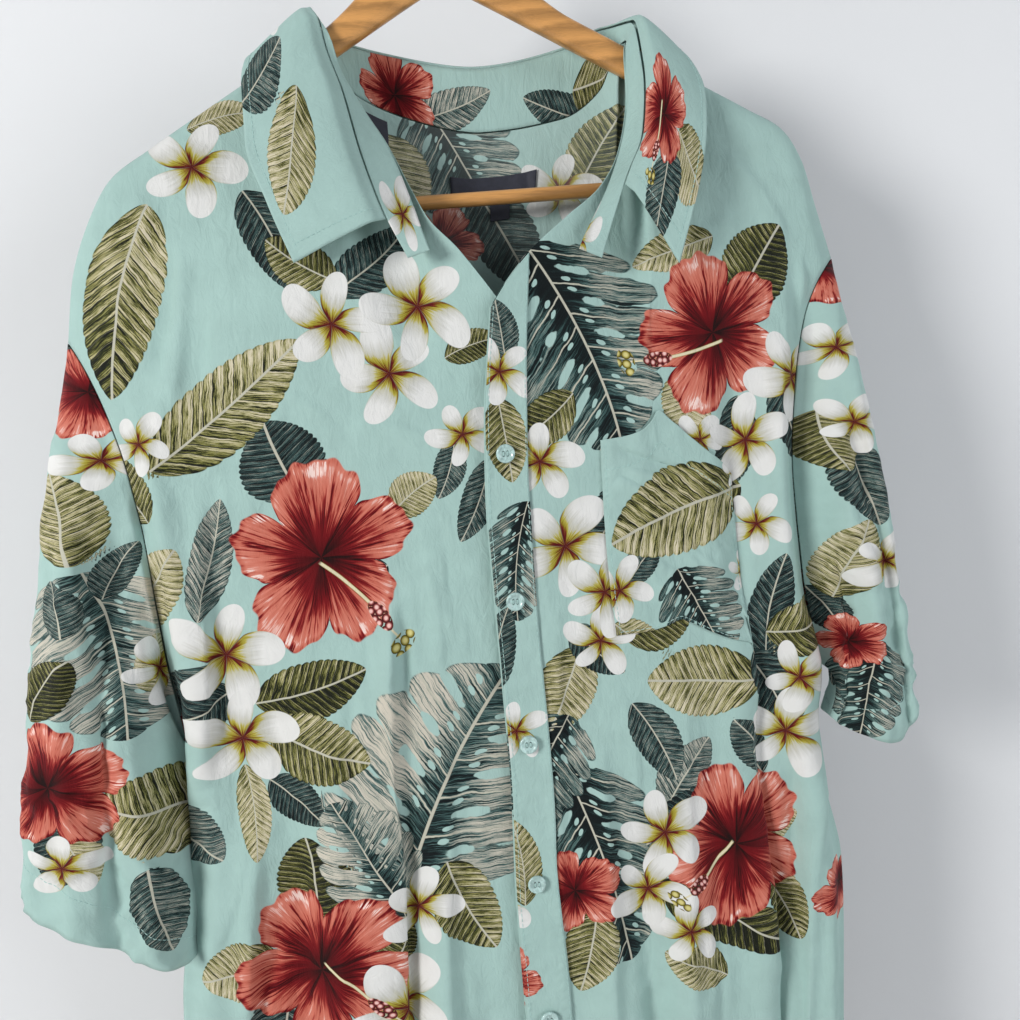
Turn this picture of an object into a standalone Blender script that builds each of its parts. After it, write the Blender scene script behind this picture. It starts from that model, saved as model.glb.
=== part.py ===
"""Hawaiian shirt hanging open-necked on a wooden hanger.

Metres, +Z up, the front faces -Y, the wearer's left is at +X.
The origin is the inner top of the hanger's hook, where a rail would touch it.

Each cloth piece is one grid of points worked out from short tables of the
garment's own sizes, given its thickness by a Solidify modifier.
"""

import bpy
import numpy as np

MM = 0.001

# ---------------------------------------------------------------- named sizes
WALL = 1.0 * MM              # cloth thickness
RIDGE_GAP = 0.6 * MM         # half the gap between front and back along the shoulder seam
SEAM_GAP = 0.7 * MM          # gap left where a sleeve or stand is sewn to a panel
LAID_GAP = 0.4 * MM          # clear gap under a piece that lies on another
FLANK_POWER = 4.0            # keeps the armhole's curve close to the armhole near the top
OVERLAP_POWER = 5.0          # how late a panel turns back towards its side edge
EASE_DEPTH = 150 * MM        # distance below the shoulder where the cloth reaches its full depth
TURN_RADIUS = 4 * MM         # roundness of the cloth where it bends over the hanger
TURN_DEPTH = 7.6 * MM        # how far the cloth stands in front of the hanger's middle plane
UNDERARM = 0.48              # place of the underarm along the side edge
CAP_REACH = 30 * MM          # how far a sleeve leaves its armhole before it falls
CAP_LIFT = 50 * MM
UNDERARM_REACH = 20 * MM     # keeps the sleeve clear of the body below the underarm
UNDERARM_STEP = 1.0 * MM
FOOT_LEAN = 0.55             # how far a dropped foot of the stand comes forward
FOOT_STEP = 2.8 * MM         # the stand's foot lies in front of the front panels
REAR_STEP = 1.4 * MM         # and behind the back panel where its neckline is steep
LEAF_LIFT = 1.6 * MM         # clear of the stand along the roll
# grid lines: across a front up to its neckline, round the neck, along the shoulder
OPENING_LINES = (0.0, 0.066, 0.132)
FRONT_NECK = (1.0, 0.94, 0.88, 0.81, 0.74, 0.67, 0.61, 0.54, 0.52)
BACK_NECK = (-0.46, -0.38, -0.30, -0.22, -0.11, 0.0, 0.12, 0.24, 0.31, 0.38, 0.46)
ALONG_SHOULDER = (0.0, 0.14, 0.31, 0.48, 0.64, 0.76, 0.855, 0.93, 1.0)
TOP_LINES = (0.0, 0.0018, 0.0048, 0.010, 0.018, 0.030, 0.045, 0.065, 0.088, 0.116)
UPPER_ROWS, LOWER_ROWS = 7, 11
PLACKET_TOP = 0.0009
SLEEVE_LINES = (0, 0.05, 0.13, 0.22, 0.32, 0.42, 0.52, 0.62, 0.72, 0.82, 0.91, 1.0)
SLEEVE_SKIPS = (0.0018, 0.0048, 0.018, 0.045)
PLACKET_EASE = 0.6 * MM      # the placket lies a little loose on its front
POCKET_EASE = 0.4 * MM
POCKET_ROWS = 9

BUTTON_RADIUS = 5.75 * MM
BUTTON_DEPTH = 2.4 * MM
BUTTON_TOP = -403 * MM       # height of the first closed button
BUTTON_STEP = 90 * MM
BUTTON_COUNT = 6
STAND_END = {-1: 0.22, 1: 0.36}  # place of the stand's ends along a front's upper edge
PLACKET = (0.004, 0.132)     # s limits of the placket on the wearer's left front

ARM_SLOPE = 0.589            # fall of the hanger's arms
ARM_APEX = -110 * MM         # where the two lower edges meet
ARM_HEIGHT = 23 * MM         # upright height of an arm
ARM_FLARE = 22 * MM          # extra height at the middle
ARM_FLARE_RUN = 80 * MM
ARM_ROUND = 20 * MM          # rounding of its ends
ARM_REACH = 216 * MM         # half the hanger's width
ARM_HALF_DEPTH = 6 * MM
LOBE_DROP = 24 * MM          # how far the ends hang down to take the bar
BAR_Z = -241 * MM
BAR_RADIUS = 4.5 * MM
BAR_HALF = 196.5 * MM
LOBE_START, LOBE_END = 196 * MM, 197.5 * MM
WIRE_RADIUS = 1.75 * MM
HOOK_RADIUS = 20.8 * MM
HOOK_CENTRE = -19.05 * MM

# ------------------------------------------------- tables, all in millimetres
# a, seam x y z, roll x y z, drop of the stand's foot: round the neck from the
# wearer's right end (-1) by the middle of the back (0) to the left end (+1)
NECK = (
    (-1.00, -25, -35, -258, -40, -50, -284, 22),
    (-0.88, -33, -26, -238, -51, -47, -256, 8),
    (-0.76, -44, -15, -208, -61, -33, -216, 0),
    (-0.66, -58, -9.5, -181, -68, -21, -176, 0),
    (-0.60, -68, -10.5, -160, -75, -15, -149, 0),
    (-0.54, -73, -9.5, -138, -78, -11, -129, 0),
    (-0.52, -77.6, -6.6, -134, -80.5, -6, -123, 0),
    (-0.50, -80, 0, -130.6, -82, 0, -119, 0),
    (-0.46, -73, 10, -139, -77, 11, -125, 0),
    (-0.38, -70, 16, -155, -74, 18, -128, 0),
    (-0.22, -42, 23, -176, -44, 27, -137, 0),
    (0.00, 18, 25.5, -193, 20, 30, -149, 0),
    (0.24, 72, 23, -188, 75, 27, -142, 0),
    (0.38, 98, 16.5, -173, 102, 20, -133, 0),
    (0.46, 106, 11, -158, 112, 12, -134, 0),
    (0.50, 112, 0, -150.0, 118, 0, -137, 0),
    (0.52, 111.4, -6.6, -153.2, 118.3, -6.5, -141, 0),
    (0.54, 109, -9.5, -159, 118, -12, -147, 0),
    (0.61, 108, -10, -185, 118, -20, -171, 0),
    (0.74, 99, -14.5, -221, 112, -31, -214, 0),
    (0.88, 82, -27, -246, 97, -42, -244, 8),
    (1.00, 61, -36, -262, 76, -51, -293, 24),
)
# a, outer edge x y z, arch in y, arch in z: the folded-down leaf
LEAF = (
    (-0.90, -105, -52, -282, -5, 1),
    (-0.80, -117, -48, -246, -6, 3),
    (-0.68, -127, -35, -207, -6, 5),
    (-0.56, -127, -20, -168, -4, 4),
    (-0.47, -122, -1, -146, 0, 3),
    (-0.34, -98, 28, -164, 5, 5),
    (-0.18, -50, 35, -190, 5, 1),
    (0.00, 19, 36.5, -208, 5, 1),
    (0.18, 68, 35, -200, 5, 1),
    (0.34, 118, 27, -176, 5, 5),
    (0.48, 142, 1, -155, 0, 5),
    (0.60, 156, -16, -184, -4, 6),
    (0.70, 151, -33, -214, -5, 5),
    (0.80, 140, -47, -250, -6, 3),
    (0.90, 121, -54, -300, -5, 1),
)
# s, x, z along the shoulder seam from the neck to the shoulder point
SHOULDER = {
    -1: ((0.44, -80, -130.6), (0.54, -110, -150.4), (0.655, -150, -174), (0.763, -190, -197.5),
         (0.832, -214, -213), (0.892, -231, -239), (0.951, -244, -272), (1.0, -251, -310)),
    1: ((0.60, 112, -150.0), (0.67, 140, -167.6), (0.735, 165, -182.4), (0.805, 190, -197.2),
        (0.87, 211, -210.6), (0.92, 223, -232), (0.962, 230, -262), (1.0, 238, -296)),
}
# v, x, z, y of the front edge, y of the back edge: armhole, then side seam
SIDE = {
    -1: ((0.0, -251, -310, -0.6, 0.6), (0.05, -241, -324, -14, 8), (0.12, -227, -356, -25, 14),
         (0.20, -217, -396, -29, 17), (0.30, -212, -446, -27, 17), (0.40, -211, -506, -15, 11),
         (0.48, -208, -562, -0.7, 0.7), (0.54, -204, -610, -0.7, 0.7),
         (0.62, -211, -675, -0.7, 0.7), (0.69, -221, -735, -0.7, 0.7),
         (0.80, -226, -830, -0.7, 0.7), (1.0, -222, -1000, -0.7, 0.7)),
    1: ((0.0, 238, -296, -0.6, 0.6), (0.05, 226, -307, -12, 8), (0.12, 211, -334, -15, 12),
        (0.20, 202, -377, -13, 14), (0.30, 197, -433, -10, 14), (0.40, 199, -502, -7, 10),
        (0.48, 206, -562, -0.7, 0.7), (0.53, 201, -602, -0.7, 0.7),
        (0.59, 207, -650, -0.7, 0.7), (0.65, 214, -698, -0.7, 0.7),
        (0.80, 206, -830, -0.7, 0.7), (1.0, 200, -1000, -0.7, 0.7)),
}
# s, x, y, z along the open neck, from the top of the closed front to the stand's end
OPENING = {
    -1: ((0.0, 17, -41.2, -318), (0.066, 3, -40.2, -296), (0.132, -9, -38.4, -278)),
    1: ((0.0, 6, -45, -316), (0.066, 18, -43.6, -300), (0.132, 33, -41.6, -284)),
}
# v, x, y, z down the front edge of each half
EDGE = {
    -1: ((0.0, 17, -41.2, -318), (0.10, 20, -41, -386), (0.20, 18, -38.8, -454),
         (0.40, 13, -33.4, -590), (0.55, 9, -29.4, -692), (0.77, 9, -25.4, -843),
         (1.0, 9, -22.4, -1000)),
    1: ((0.0, 6, -45, -316), (0.10, -4, -44.4, -385), (0.20, -8, -42, -453),
        (0.40, -8, -36.4, -590), (0.55, -12, -32.4, -692), (0.77, -13, -28.4, -843),
        (1.0, -12, -25.4, -1000)),
}
# v, y of the back panel at its middle
BACK_DEPTH = ((0.0, 25), (0.15, 22), (0.4, 19), (0.7, 21), (1.0, 24))
# t, x, y, z round each cuff: outer edge, front, inner edge, back, outer edge
CUFF = {
    -1: ((0.0, -316, -12, -648), (0.10, -304, -32, -655), (0.22, -272, -38, -670),
         (0.36, -241, -34, -692), (0.46, -224, -20, -700), (0.54, -220, 0, -696),
         (0.66, -240, 17, -682), (0.80, -276, 19, -664), (0.92, -307, 8, -650),
         (1.0, -316, -12, -648)),
    1: ((0.0, 268, -8, -580), (0.10, 262, -26, -602), (0.22, 246, -31, -614),
        (0.36, 224, -28, -607), (0.46, 211, -17, -600), (0.54, 210, 0, -596),
        (0.66, 222, 15, -592), (0.80, 245, 17, -588), (0.92, 263, 8, -580),
        (1.0, 268, -8, -580)),
}
# s at top, s at hem, v start, v end, half width, depth to the front, sideways lean
FRONT_FOLDS = {
    -1: ((0.93, 0.93, 0.16, 1.2, 9, 9, 1), (0.43, 0.42, 0.42, 1.2, 10, -7, 0),
         (0.56, 0.56, 0.45, 1.2, 20, 8, 0), (0.76, 0.70, 0.40, 1.2, 16, -7, 0),
         (0.31, 0.30, 0.60, 1.2, 14, 6, 0), (0.80, 0.66, 0.04, 0.30, 16, -4, 0)),
    1: ((0.93, 0.90, 0.10, 1.2, 10, 11, 2), (0.80, 0.73, 0.18, 1.2, 8, -8, 0),
        (0.38, 0.38, 0.50, 1.2, 9, -7, 0), (0.52, 0.50, 0.52, 1.2, 18, 8, 0),
        (0.27, 0.29, 0.62, 1.2, 12, 5, 0)),
}
BACK_FOLDS = (
    (-0.62, -0.60, 0.28, 1.2, 24, -7, 0), (-0.28, -0.30, 0.34, 1.2, 22, -8, 0),
    (0.06, 0.04, 0.30, 1.2, 26, -6, 0), (0.40, 0.36, 0.34, 1.2, 20, -8, 0),
    (0.70, 0.66, 0.28, 1.2, 22, -7, 0),
)
# t at armhole, t at cuff, r start, r end, half width in t, depth outwards
SLEEVE_FOLDS = {
    -1: ((0.16, 0.20, 0.15, 1.3, 0.035, 5), (0.27, 0.29, 0.05, 1.3, 0.030, -7),
         (0.38, 0.40, 0.10, 1.3, 0.040, 5), (0.62, 0.60, 0.10, 1.3, 0.040, -6),
         (0.80, 0.80, 0.10, 1.3, 0.050, 5)),
    1: ((0.17, 0.15, 0.20, 1.3, 0.030, -6), (0.29, 0.28, 0.15, 1.3, 0.040, 5),
        (0.38, 0.41, 0.30, 1.3, 0.025, -5), (0.62, 0.60, 0.10, 1.3, 0.040, -6),
        (0.80, 0.80, 0.10, 1.3, 0.050, 5)),
}
# s, v top, v bottom of the pocket's two side edges on the wearer's left front
POCKET = ((0.39, 0.206, 0.371), (0.785, 0.318, 0.4545))
# s left, s right, v top, v bottom of each label on the back panel's inner side
LABELS = {
    "brand_label": (-0.068, 0.203, 0.052, 0.073, (0.02, 0.03, 0.07)),
    "size_tab": (0.038, 0.104, 0.0765, 0.094, (0.02, 0.02, 0.03)),
    "care_label": (-0.264, -0.196, 0.011, 0.038, (0.02, 0.02, 0.03)),
}


# ------------------------------------------------------------------- helpers
def smooth(t):
    """Eased step: 0 below 0, 1 above 1, level at both ends."""
    t = np.clip(t, 0.0, 1.0)
    return t * t * (3.0 - 2.0 * t)


def curve(rows, t):
    """Smooth curve through table rows (first column the parameter), in metres.
    Its slope is level wherever the rows turn back, so it never swings past them."""
    rows = np.asarray(rows, float)
    key, val = rows[:, 0], rows[:, 1:] * MM
    step = np.diff(val, axis=0) / np.diff(key)[:, None]
    both = step[:-1] * step[1:]
    mean = 2 * both / np.where(both > 0, step[:-1] + step[1:], 1.0)
    slope = np.concatenate([step[:1], np.where(both > 0, mean, 0.0), step[-1:]])
    t = np.clip(np.asarray(t, float), key[0], key[-1])
    i = np.clip(np.searchsorted(key, t, side="right") - 1, 0, len(key) - 2)
    h = (key[i + 1] - key[i])[..., None]
    u = (t - key[i])[..., None] / h
    return (val[i] * (1 + 2 * u) * (1 - u) ** 2 + val[i + 1] * u * u * (3 - 2 * u)
            + slope[i] * h * u * (1 - u) ** 2 - slope[i + 1] * h * u * u * (1 - u))


def stack(x, y, z):
    return np.stack([x, y, z], axis=-1)


def front_place(side, a):
    """Place across a front of a place round the neck."""
    end, high = STAND_END[side], SHOULDER[side][0][0]
    return end + (1.0 - a * side) / 0.5 * (high - end)


def back_place(a):
    """Place across the back of a place round the neck."""
    return a / 0.5 * np.where(np.asarray(a) < 0, SHOULDER[-1][0][0], SHOULDER[1][0][0])


def on_ridge(side, s):
    """1 along the shoulder, 0 along the neckline and right at the shoulder point."""
    return smooth((s - SHOULDER[side][0][0]) / 0.012 + 1) * (1 - s ** 16)


def top_edge(side, s):
    """Upper edge of a front: the open neck, the neckline, then the shoulder seam."""
    rows = list(OPENING[side])
    for a, x, y, z in sorted((row[:4] for row in NECK), key=lambda row: -row[0] * side):
        if a * side > 0.5:
            rows.append((front_place(side, a), x, y, z))
    rows += [(a, x, -RIDGE_GAP / MM, z) for a, x, z in SHOULDER[side]]
    return curve(rows, s)


def folds(table, s, v, width):
    """Sum of soft folds: depth along y and sideways lean, both in metres."""
    depth, lean = np.zeros_like(s), np.zeros_like(s)
    for s_top, s_hem, start, end, half, deep, push in table:
        centre = s_top + (s_hem - s_top) * v
        u = (s - centre) * width / (half * MM)
        grow = smooth((v - start) / 0.14) * (1 - smooth((v - end + 0.14) / 0.14))
        grow = grow * (1 + 0.8 * smooth((v - 0.55) / 0.45))
        depth += deep * MM * grow * np.exp(-u * u)
        lean += push * MM * grow * np.exp(-u * u)
    return depth, lean


def front(side, s, v):
    """Point of a front: a patch between its four edges, eased down from the
    shoulder, turning back late towards the side, with folds added."""
    top, t0, t1 = top_edge(side, s), top_edge(side, 0.0 * s), top_edge(side, 0.0 * s + 1)
    edge, flank = curve(EDGE[side], v), curve(SIDE[side], v)
    flank = stack(flank[..., 0], flank[..., 2], flank[..., 1])
    k = s[..., None]
    late = (np.abs(s) ** OVERLAP_POWER)[..., None]
    fade = ((1 - v) ** 3)[..., None]
    level = smooth(v / 0.35)
    near = level + (1 - level) * s ** FLANK_POWER
    bend = (flank - t1) * near[..., None]
    bend[..., 2] = (flank - t1)[..., 2]
    out = (1 - k) * edge + k * (t1 + bend) + fade * (top - (1 - k) * t0 - k * t1)
    below = np.clip(top[..., 2] - out[..., 2], 0, None)
    hold = 1 - smooth(below / EASE_DEPTH)
    y = ((1 - late) * edge + late * flank)[..., 1]
    y += hold * (top - (1 - late) * t0 - late * t1)[..., 1]
    y -= hold * on_ridge(side, s) * TURN_DEPTH * (1 - np.exp(-below / TURN_RADIUS))
    depth, lean = folds(FRONT_FOLDS[side], s, v, 0.21)
    rim = smooth(s / 0.16) * smooth((1 - s) / 0.05)
    return stack(out[..., 0] + side * lean * rim, y - depth * rim, out[..., 2])


def back_top(s):
    """Upper edge of the back, from shoulder point to shoulder point."""
    rows = [(float(back_place(row[0])), *row[1:4]) for row in NECK if abs(row[0]) < 0.5]
    left = [(-a, x, RIDGE_GAP / MM, z) for a, x, z in SHOULDER[-1]][::-1]
    right = [(a, x, RIDGE_GAP / MM, z) for a, x, z in SHOULDER[1]]
    return curve(left + rows + right, s)


def back(s, v):
    """Point of the back panel, built the same way across its whole width."""
    one = 0.0 * s + 1
    top, t0, t1 = back_top(s), back_top(-one), back_top(one)
    e0, e1 = curve(SIDE[-1], v), curve(SIDE[1], v)
    e0, e1 = (stack(e[..., 0], e[..., 3], e[..., 1]) for e in (e0, e1))
    k = ((s + 1) / 2)[..., None]
    fade = ((1 - v) ** 3)[..., None]
    out = (1 - k) * e0 + k * e1 + fade * (top - (1 - k) * t0 - k * t1)
    below = np.clip(top[..., 2] - out[..., 2], 0, None)
    hold = 1 - smooth(below / EASE_DEPTH)
    late = np.abs(s) ** (OVERLAP_POWER + 1)
    middle = curve(BACK_DEPTH, v)[..., 0]
    rim_y = np.where(s < 0, e0[..., 1], e1[..., 1])
    y = (1 - late) * middle + late * rim_y
    y += hold * (top[..., 1] - (1 - late) * BACK_DEPTH[0][1] * MM - late * RIDGE_GAP)
    ridge = np.where(s < 0, on_ridge(-1, -s), on_ridge(1, s))
    y += hold * ridge * TURN_DEPTH * (1 - np.exp(-below / TURN_RADIUS))
    depth, lean = folds(BACK_FOLDS, s, v, 0.21)
    rim = smooth((1 - np.abs(s)) / 0.12)
    return stack(out[..., 0], y + depth * rim, out[..., 2])


def armhole(side, t):
    """Armhole loop: down the front edge to the underarm, then up the back edge."""
    v = UNDERARM * (1 - np.abs(2 * t - 1))
    one = 0.0 * t + 1
    return np.where((t <= 0.5)[..., None], front(side, one, v), back(side * one, v))


def sleeve(side, t, r):
    """Point of a sleeve: leaves the armhole outwards, then falls to the cuff."""
    hole, cuff = armhole(side, t), curve(CUFF[side], t)
    face = -np.sin(2 * np.pi * t)
    aim = hole * 0.7 + cuff * 0.3
    low = smooth(1 - 2.5 * np.abs(2 * t - 1))
    out_now = np.sqrt(np.abs(face))
    aim[..., 0] += side * (CAP_REACH * out_now + UNDERARM_REACH * low)
    aim[..., 2] += CAP_LIFT * out_now
    lead = stack(side * (out_now + 0.6), 0 * t, out_now - 1)
    lead /= np.linalg.norm(lead, axis=-1, keepdims=True)
    k = r[..., None]
    start = hole + lead * SEAM_GAP
    start[..., 0] += side * UNDERARM_STEP * low
    out = start * (1 - k) ** 2 + aim * 2 * k * (1 - k) + cuff * k * k
    swell = 8 * MM * np.sin(np.pi * np.clip(r, 0, 1)) * face
    for t_top, t_low, start, end, half, deep in SLEEVE_FOLDS[side]:
        u = (t - (t_top + (t_low - t_top) * r)) / half
        grow = smooth((r - start) / 0.25) * (1 - smooth((r - end + 0.25) / 0.25))
        swell += deep * MM * grow * np.exp(-u * u) * np.sign(face)
    out[..., 1] += swell
    return out


def front_lines(side):
    """Grid lines across a front, from its open edge to the armhole."""
    high = SHOULDER[side][0][0]
    neck = front_place(side, np.array(FRONT_NECK) * side)
    return np.concatenate([OPENING_LINES, neck, high + (1 - high) * np.array(ALONG_SHOULDER)])


def back_lines():
    """Grid lines across the back, from armhole to armhole."""
    left, right = SHOULDER[-1][0][0], SHOULDER[1][0][0]
    along = np.array(ALONG_SHOULDER)
    return np.concatenate([-left - (1 - left) * along[::-1], back_place(np.array(BACK_NECK)),
                           right + (1 - right) * along])


def neck_lines():
    """Places round the neck that fall on the grid lines of the three panels."""
    fore = np.array(FRONT_NECK)
    return np.concatenate([-fore, [-0.5], BACK_NECK, [0.5], fore[::-1]])


def seam_line(a):
    """The neckline, taken from the panels' own upper edges."""
    out = back_top(back_place(np.clip(a, -0.5, 0.5)))
    for side in (-1, 1):
        beyond = a * side > 0.5
        near = top_edge(side, front_place(side, np.where(beyond, a, 0.5 * side)))
        out = np.where(beyond[..., None], near, out)
    return out


def stand(a, b):
    """Point of the collar stand: from its foot on the neckline (b=0) to the roll (b=1)."""
    row = curve(NECK, a)
    roll, drop = row[..., 3:6], row[..., 6]
    foot = seam_line(a)
    foot[..., 2] -= drop
    foot[..., 1] -= FOOT_LEAN * drop + FOOT_STEP * smooth((np.abs(a) - 0.5) / 0.04)
    foot[..., 1] += REAR_STEP * smooth((0.5 - np.abs(a)) / 0.04) * smooth((np.abs(a) - 0.2) / 0.1)
    rise = roll - foot
    rise /= np.linalg.norm(rise, axis=-1, keepdims=True)
    crest = np.exp(-((np.abs(a) - 0.5) / 0.05) ** 2)[..., None]
    foot = foot + rise * (SEAM_GAP + (0.4 + 0.5 * crest) * MM)
    b = b[..., None]
    return foot * (1 - b) + (roll - rise * SEAM_GAP) * b


def leaf(a, b):
    """Point of the collar leaf: from the roll (b=0) over its arch to the outer edge (b=1)."""
    roll = curve(NECK, a)[..., 3:6]
    row = curve(LEAF, a)
    edge, arch = row[..., 0:3], row[..., 3:5]
    away = (edge - roll) * np.array([1, 1, 0])
    away /= np.linalg.norm(away, axis=-1, keepdims=True)
    roll = roll + LEAF_LIFT * (0.7 * away + np.array([0, 0, 0.7]))
    b = b[..., None]
    out = roll * (1 - b) + edge * b
    hump = (np.sqrt(b) - b) * 4.0 * (0.3 + 0.7 * smooth(b / 0.15))
    return out + np.concatenate([0 * b, arch[..., :1] * hump, arch[..., 1:] * hump], axis=-1)


def normals(points):
    """Unit normals of a grid of points, from its neighbours, facing the front."""
    n = np.cross(np.gradient(points, axis=1), np.gradient(points, axis=0))
    n /= np.linalg.norm(n, axis=-1, keepdims=True)
    return n * np.where(n[..., 1:2] > 0, -1.0, 1.0)


def laid(panel, s, v, gap):
    """Points of a panel's own faces moved out: (points, columns, rows) and places."""
    points, cols, rows = panel
    both = np.concatenate([points, normals(points)], axis=-1)
    i = np.clip(np.searchsorted(cols, s, side="right") - 1, 0, len(cols) - 2)
    j = np.clip(np.searchsorted(rows, v, side="right") - 1, 0, len(rows) - 2)
    p = ((s - cols[i]) / (cols[i + 1] - cols[i]))[..., None]
    q = ((v - rows[j]) / (rows[j + 1] - rows[j]))[..., None]
    out = ((1 - p) * (1 - q) * both[j, i] + p * (1 - q) * both[j, i + 1]
           + (1 - p) * q * both[j + 1, i] + p * q * both[j + 1, i + 1])
    n = out[..., 3:] / np.linalg.norm(out[..., 3:], axis=-1, keepdims=True)
    return out[..., :3] + n * gap, n


def cuts(low, high, marks):
    """The two limits with every panel line between them."""
    reach = 0.12 * (high - low)
    inner = [m for m in marks if low + reach * 0.5 < m < high - reach * 0.5]
    return np.array([low] + inner + [high])



# ----------------------------------------------------------------- materials
def material(name, colour, roughness, metallic=0.0):
    mat = bpy.data.materials.new(name)
    mat.use_nodes = True
    node = mat.node_tree.nodes["Principled BSDF"]
    node.inputs["Base Color"].default_value = (*colour, 1.0)
    node.inputs["Roughness"].default_value = roughness
    node.inputs["Metallic"].default_value = metallic
    return mat


AQUA = (0.38, 0.60, 0.56)
WOOD = (0.52, 0.30, 0.12)
STEEL = (0.62, 0.62, 0.63)
GLOSS = (0.55, 0.74, 0.72)


def add(name, mesh, colour, roughness=0.8, metallic=0.0):
    obj = bpy.data.objects.new(name, mesh)
    SHIRT.objects.link(obj)
    mesh.materials.append(material(name + "_surface", colour, roughness, metallic))
    return obj


def sheet(name, points, colour, closed=False, wall=WALL, roughness=0.85):
    """Mesh a grid of points as one cloth piece of even thickness."""
    rows, cols = points.shape[:2]
    index = np.arange(rows * cols).reshape(rows, cols)
    right = np.roll(index, -1, axis=1) if closed else index[:, 1:]
    left = index if closed else index[:, :-1]
    quads = np.stack([left[:-1], right[:-1], right[1:], left[1:]], axis=-1).reshape(-1, 4)
    mesh = bpy.data.meshes.new(name)
    mesh.from_pydata(points.reshape(-1, 3).tolist(), [], quads.tolist())
    obj = add(name, mesh, colour, roughness)
    thick = obj.modifiers.new("thickness", "SOLIDIFY")
    thick.thickness = wall
    thick.offset = 0.0
    return obj


def grid(us, vs):
    """Two arrays that run over every pair of the given values, a row per v."""
    v, u = np.meshgrid(vs, us, indexing="ij")
    return u, v


def rows_down():
    """Rows from top to hem, closer together where the cloth turns over the hanger."""
    return np.concatenate([TOP_LINES[:-1],
                           np.linspace(TOP_LINES[-1], UNDERARM, UPPER_ROWS, endpoint=False),
                           np.linspace(UNDERARM, 1, LOWER_ROWS + 1)])


# --------------------------------------------------------------------- cloth
def build_shirt():
    """Every cloth piece; returns the wearer's left front for the buttons."""
    rows = rows_down()
    for side, name in ((-1, "front_panel_right"), (1, "front_panel_left")):
        across = front_lines(side)
        s, v = grid(across, rows)
        points = front(side, s, v)
        sheet(name, points, AQUA)
    fore = (points, across, rows)
    wide = back_lines()
    s, v = grid(wide, rows)
    rear = (back(s, v), wide, rows)
    sheet("back_panel", rear[0], AQUA)
    for side, name in ((-1, "sleeve_right"), (1, "sleeve_left")):
        down = rows[(rows < UNDERARM - 0.01) & np.isin(rows, SLEEVE_SKIPS, invert=True)]
        down = down / UNDERARM / 2
        t, r = grid(np.concatenate([down, [0.5], 1 - down[:0:-1]]), np.array(SLEEVE_LINES))
        sheet(name, sleeve(side, t, r), AQUA, closed=True)
    round_neck = neck_lines()
    a, b = grid(round_neck, np.linspace(0, 1, 4))
    sheet("collar_stand", stand(a, b), AQUA)
    inner = round_neck[np.abs(round_neck) < 0.88]
    a, b = grid(np.concatenate([[-0.9], inner, [0.9]]), np.linspace(0, 1, 6))
    sheet("collar_leaf", leaf(a, b), AQUA)

    lay = WALL + LAID_GAP
    s, v = grid(cuts(*PLACKET, across), cuts(PLACKET_TOP, 1.0, rows))
    sheet("button_placket", laid(fore, s, v, lay + PLACKET_EASE)[0], AQUA)
    (s0, top0, low0), (s1, top1, low1) = POCKET
    s, v = grid(cuts(s0, s1, across), np.linspace(0, 1, POCKET_ROWS))
    k = (s - s0) / (s1 - s0)
    v = (1 - v) * (top0 + (top1 - top0) * k) + v * (low0 + (low1 - low0) * k)
    sheet("chest_pocket", laid(fore, s, v, lay + POCKET_EASE)[0], AQUA)
    for name, (s0, s1, v0, v1, colour) in LABELS.items():
        s, v = grid(cuts(s0, s1, wide), cuts(v0, v1, rows))
        sheet(name, laid(rear, s, v, lay)[0], colour, roughness=0.6)
    return fore


def button(name, centre, normal):
    """Flat round button with a raised rim, turned to lie on the cloth."""
    profile = ((0.0, 0.25), (0.62, 0.25), (0.74, 0.5), (0.92, 0.5), (1.0, 0.1), (0.86, -0.5),
               (0.0, -0.5))
    n = normal / np.linalg.norm(normal)
    u = np.cross(n, (0.0, 0.0, 1.0))
    u /= np.linalg.norm(u)
    w = np.cross(n, u)
    turns = np.linspace(0, 2 * np.pi, 18, endpoint=False)
    verts, faces = [centre + n * profile[0][1] * BUTTON_DEPTH], []
    for radius, height in profile[1:-1]:
        for q in turns:
            verts.append(centre + (u * np.cos(q) + w * np.sin(q)) * radius * BUTTON_RADIUS
                         + n * height * BUTTON_DEPTH)
    verts.append(centre + n * profile[-1][1] * BUTTON_DEPTH)
    k, rings = len(turns), len(profile) - 2
    for j in range(k):
        faces.append((0, 1 + j, 1 + (j + 1) % k))
        for ring in range(rings - 1):
            a0, b0 = 1 + ring * k, 1 + (ring + 1) * k
            faces.append((a0 + j, b0 + j, b0 + (j + 1) % k, a0 + (j + 1) % k))
        last = 1 + (rings - 1) * k
        faces.append((last + (j + 1) % k, last + j, len(verts) - 1))
    mesh = bpy.data.meshes.new(name)
    mesh.from_pydata([tuple(p) for p in verts], [], faces)
    add(name, mesh, GLOSS, 0.25)


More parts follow.
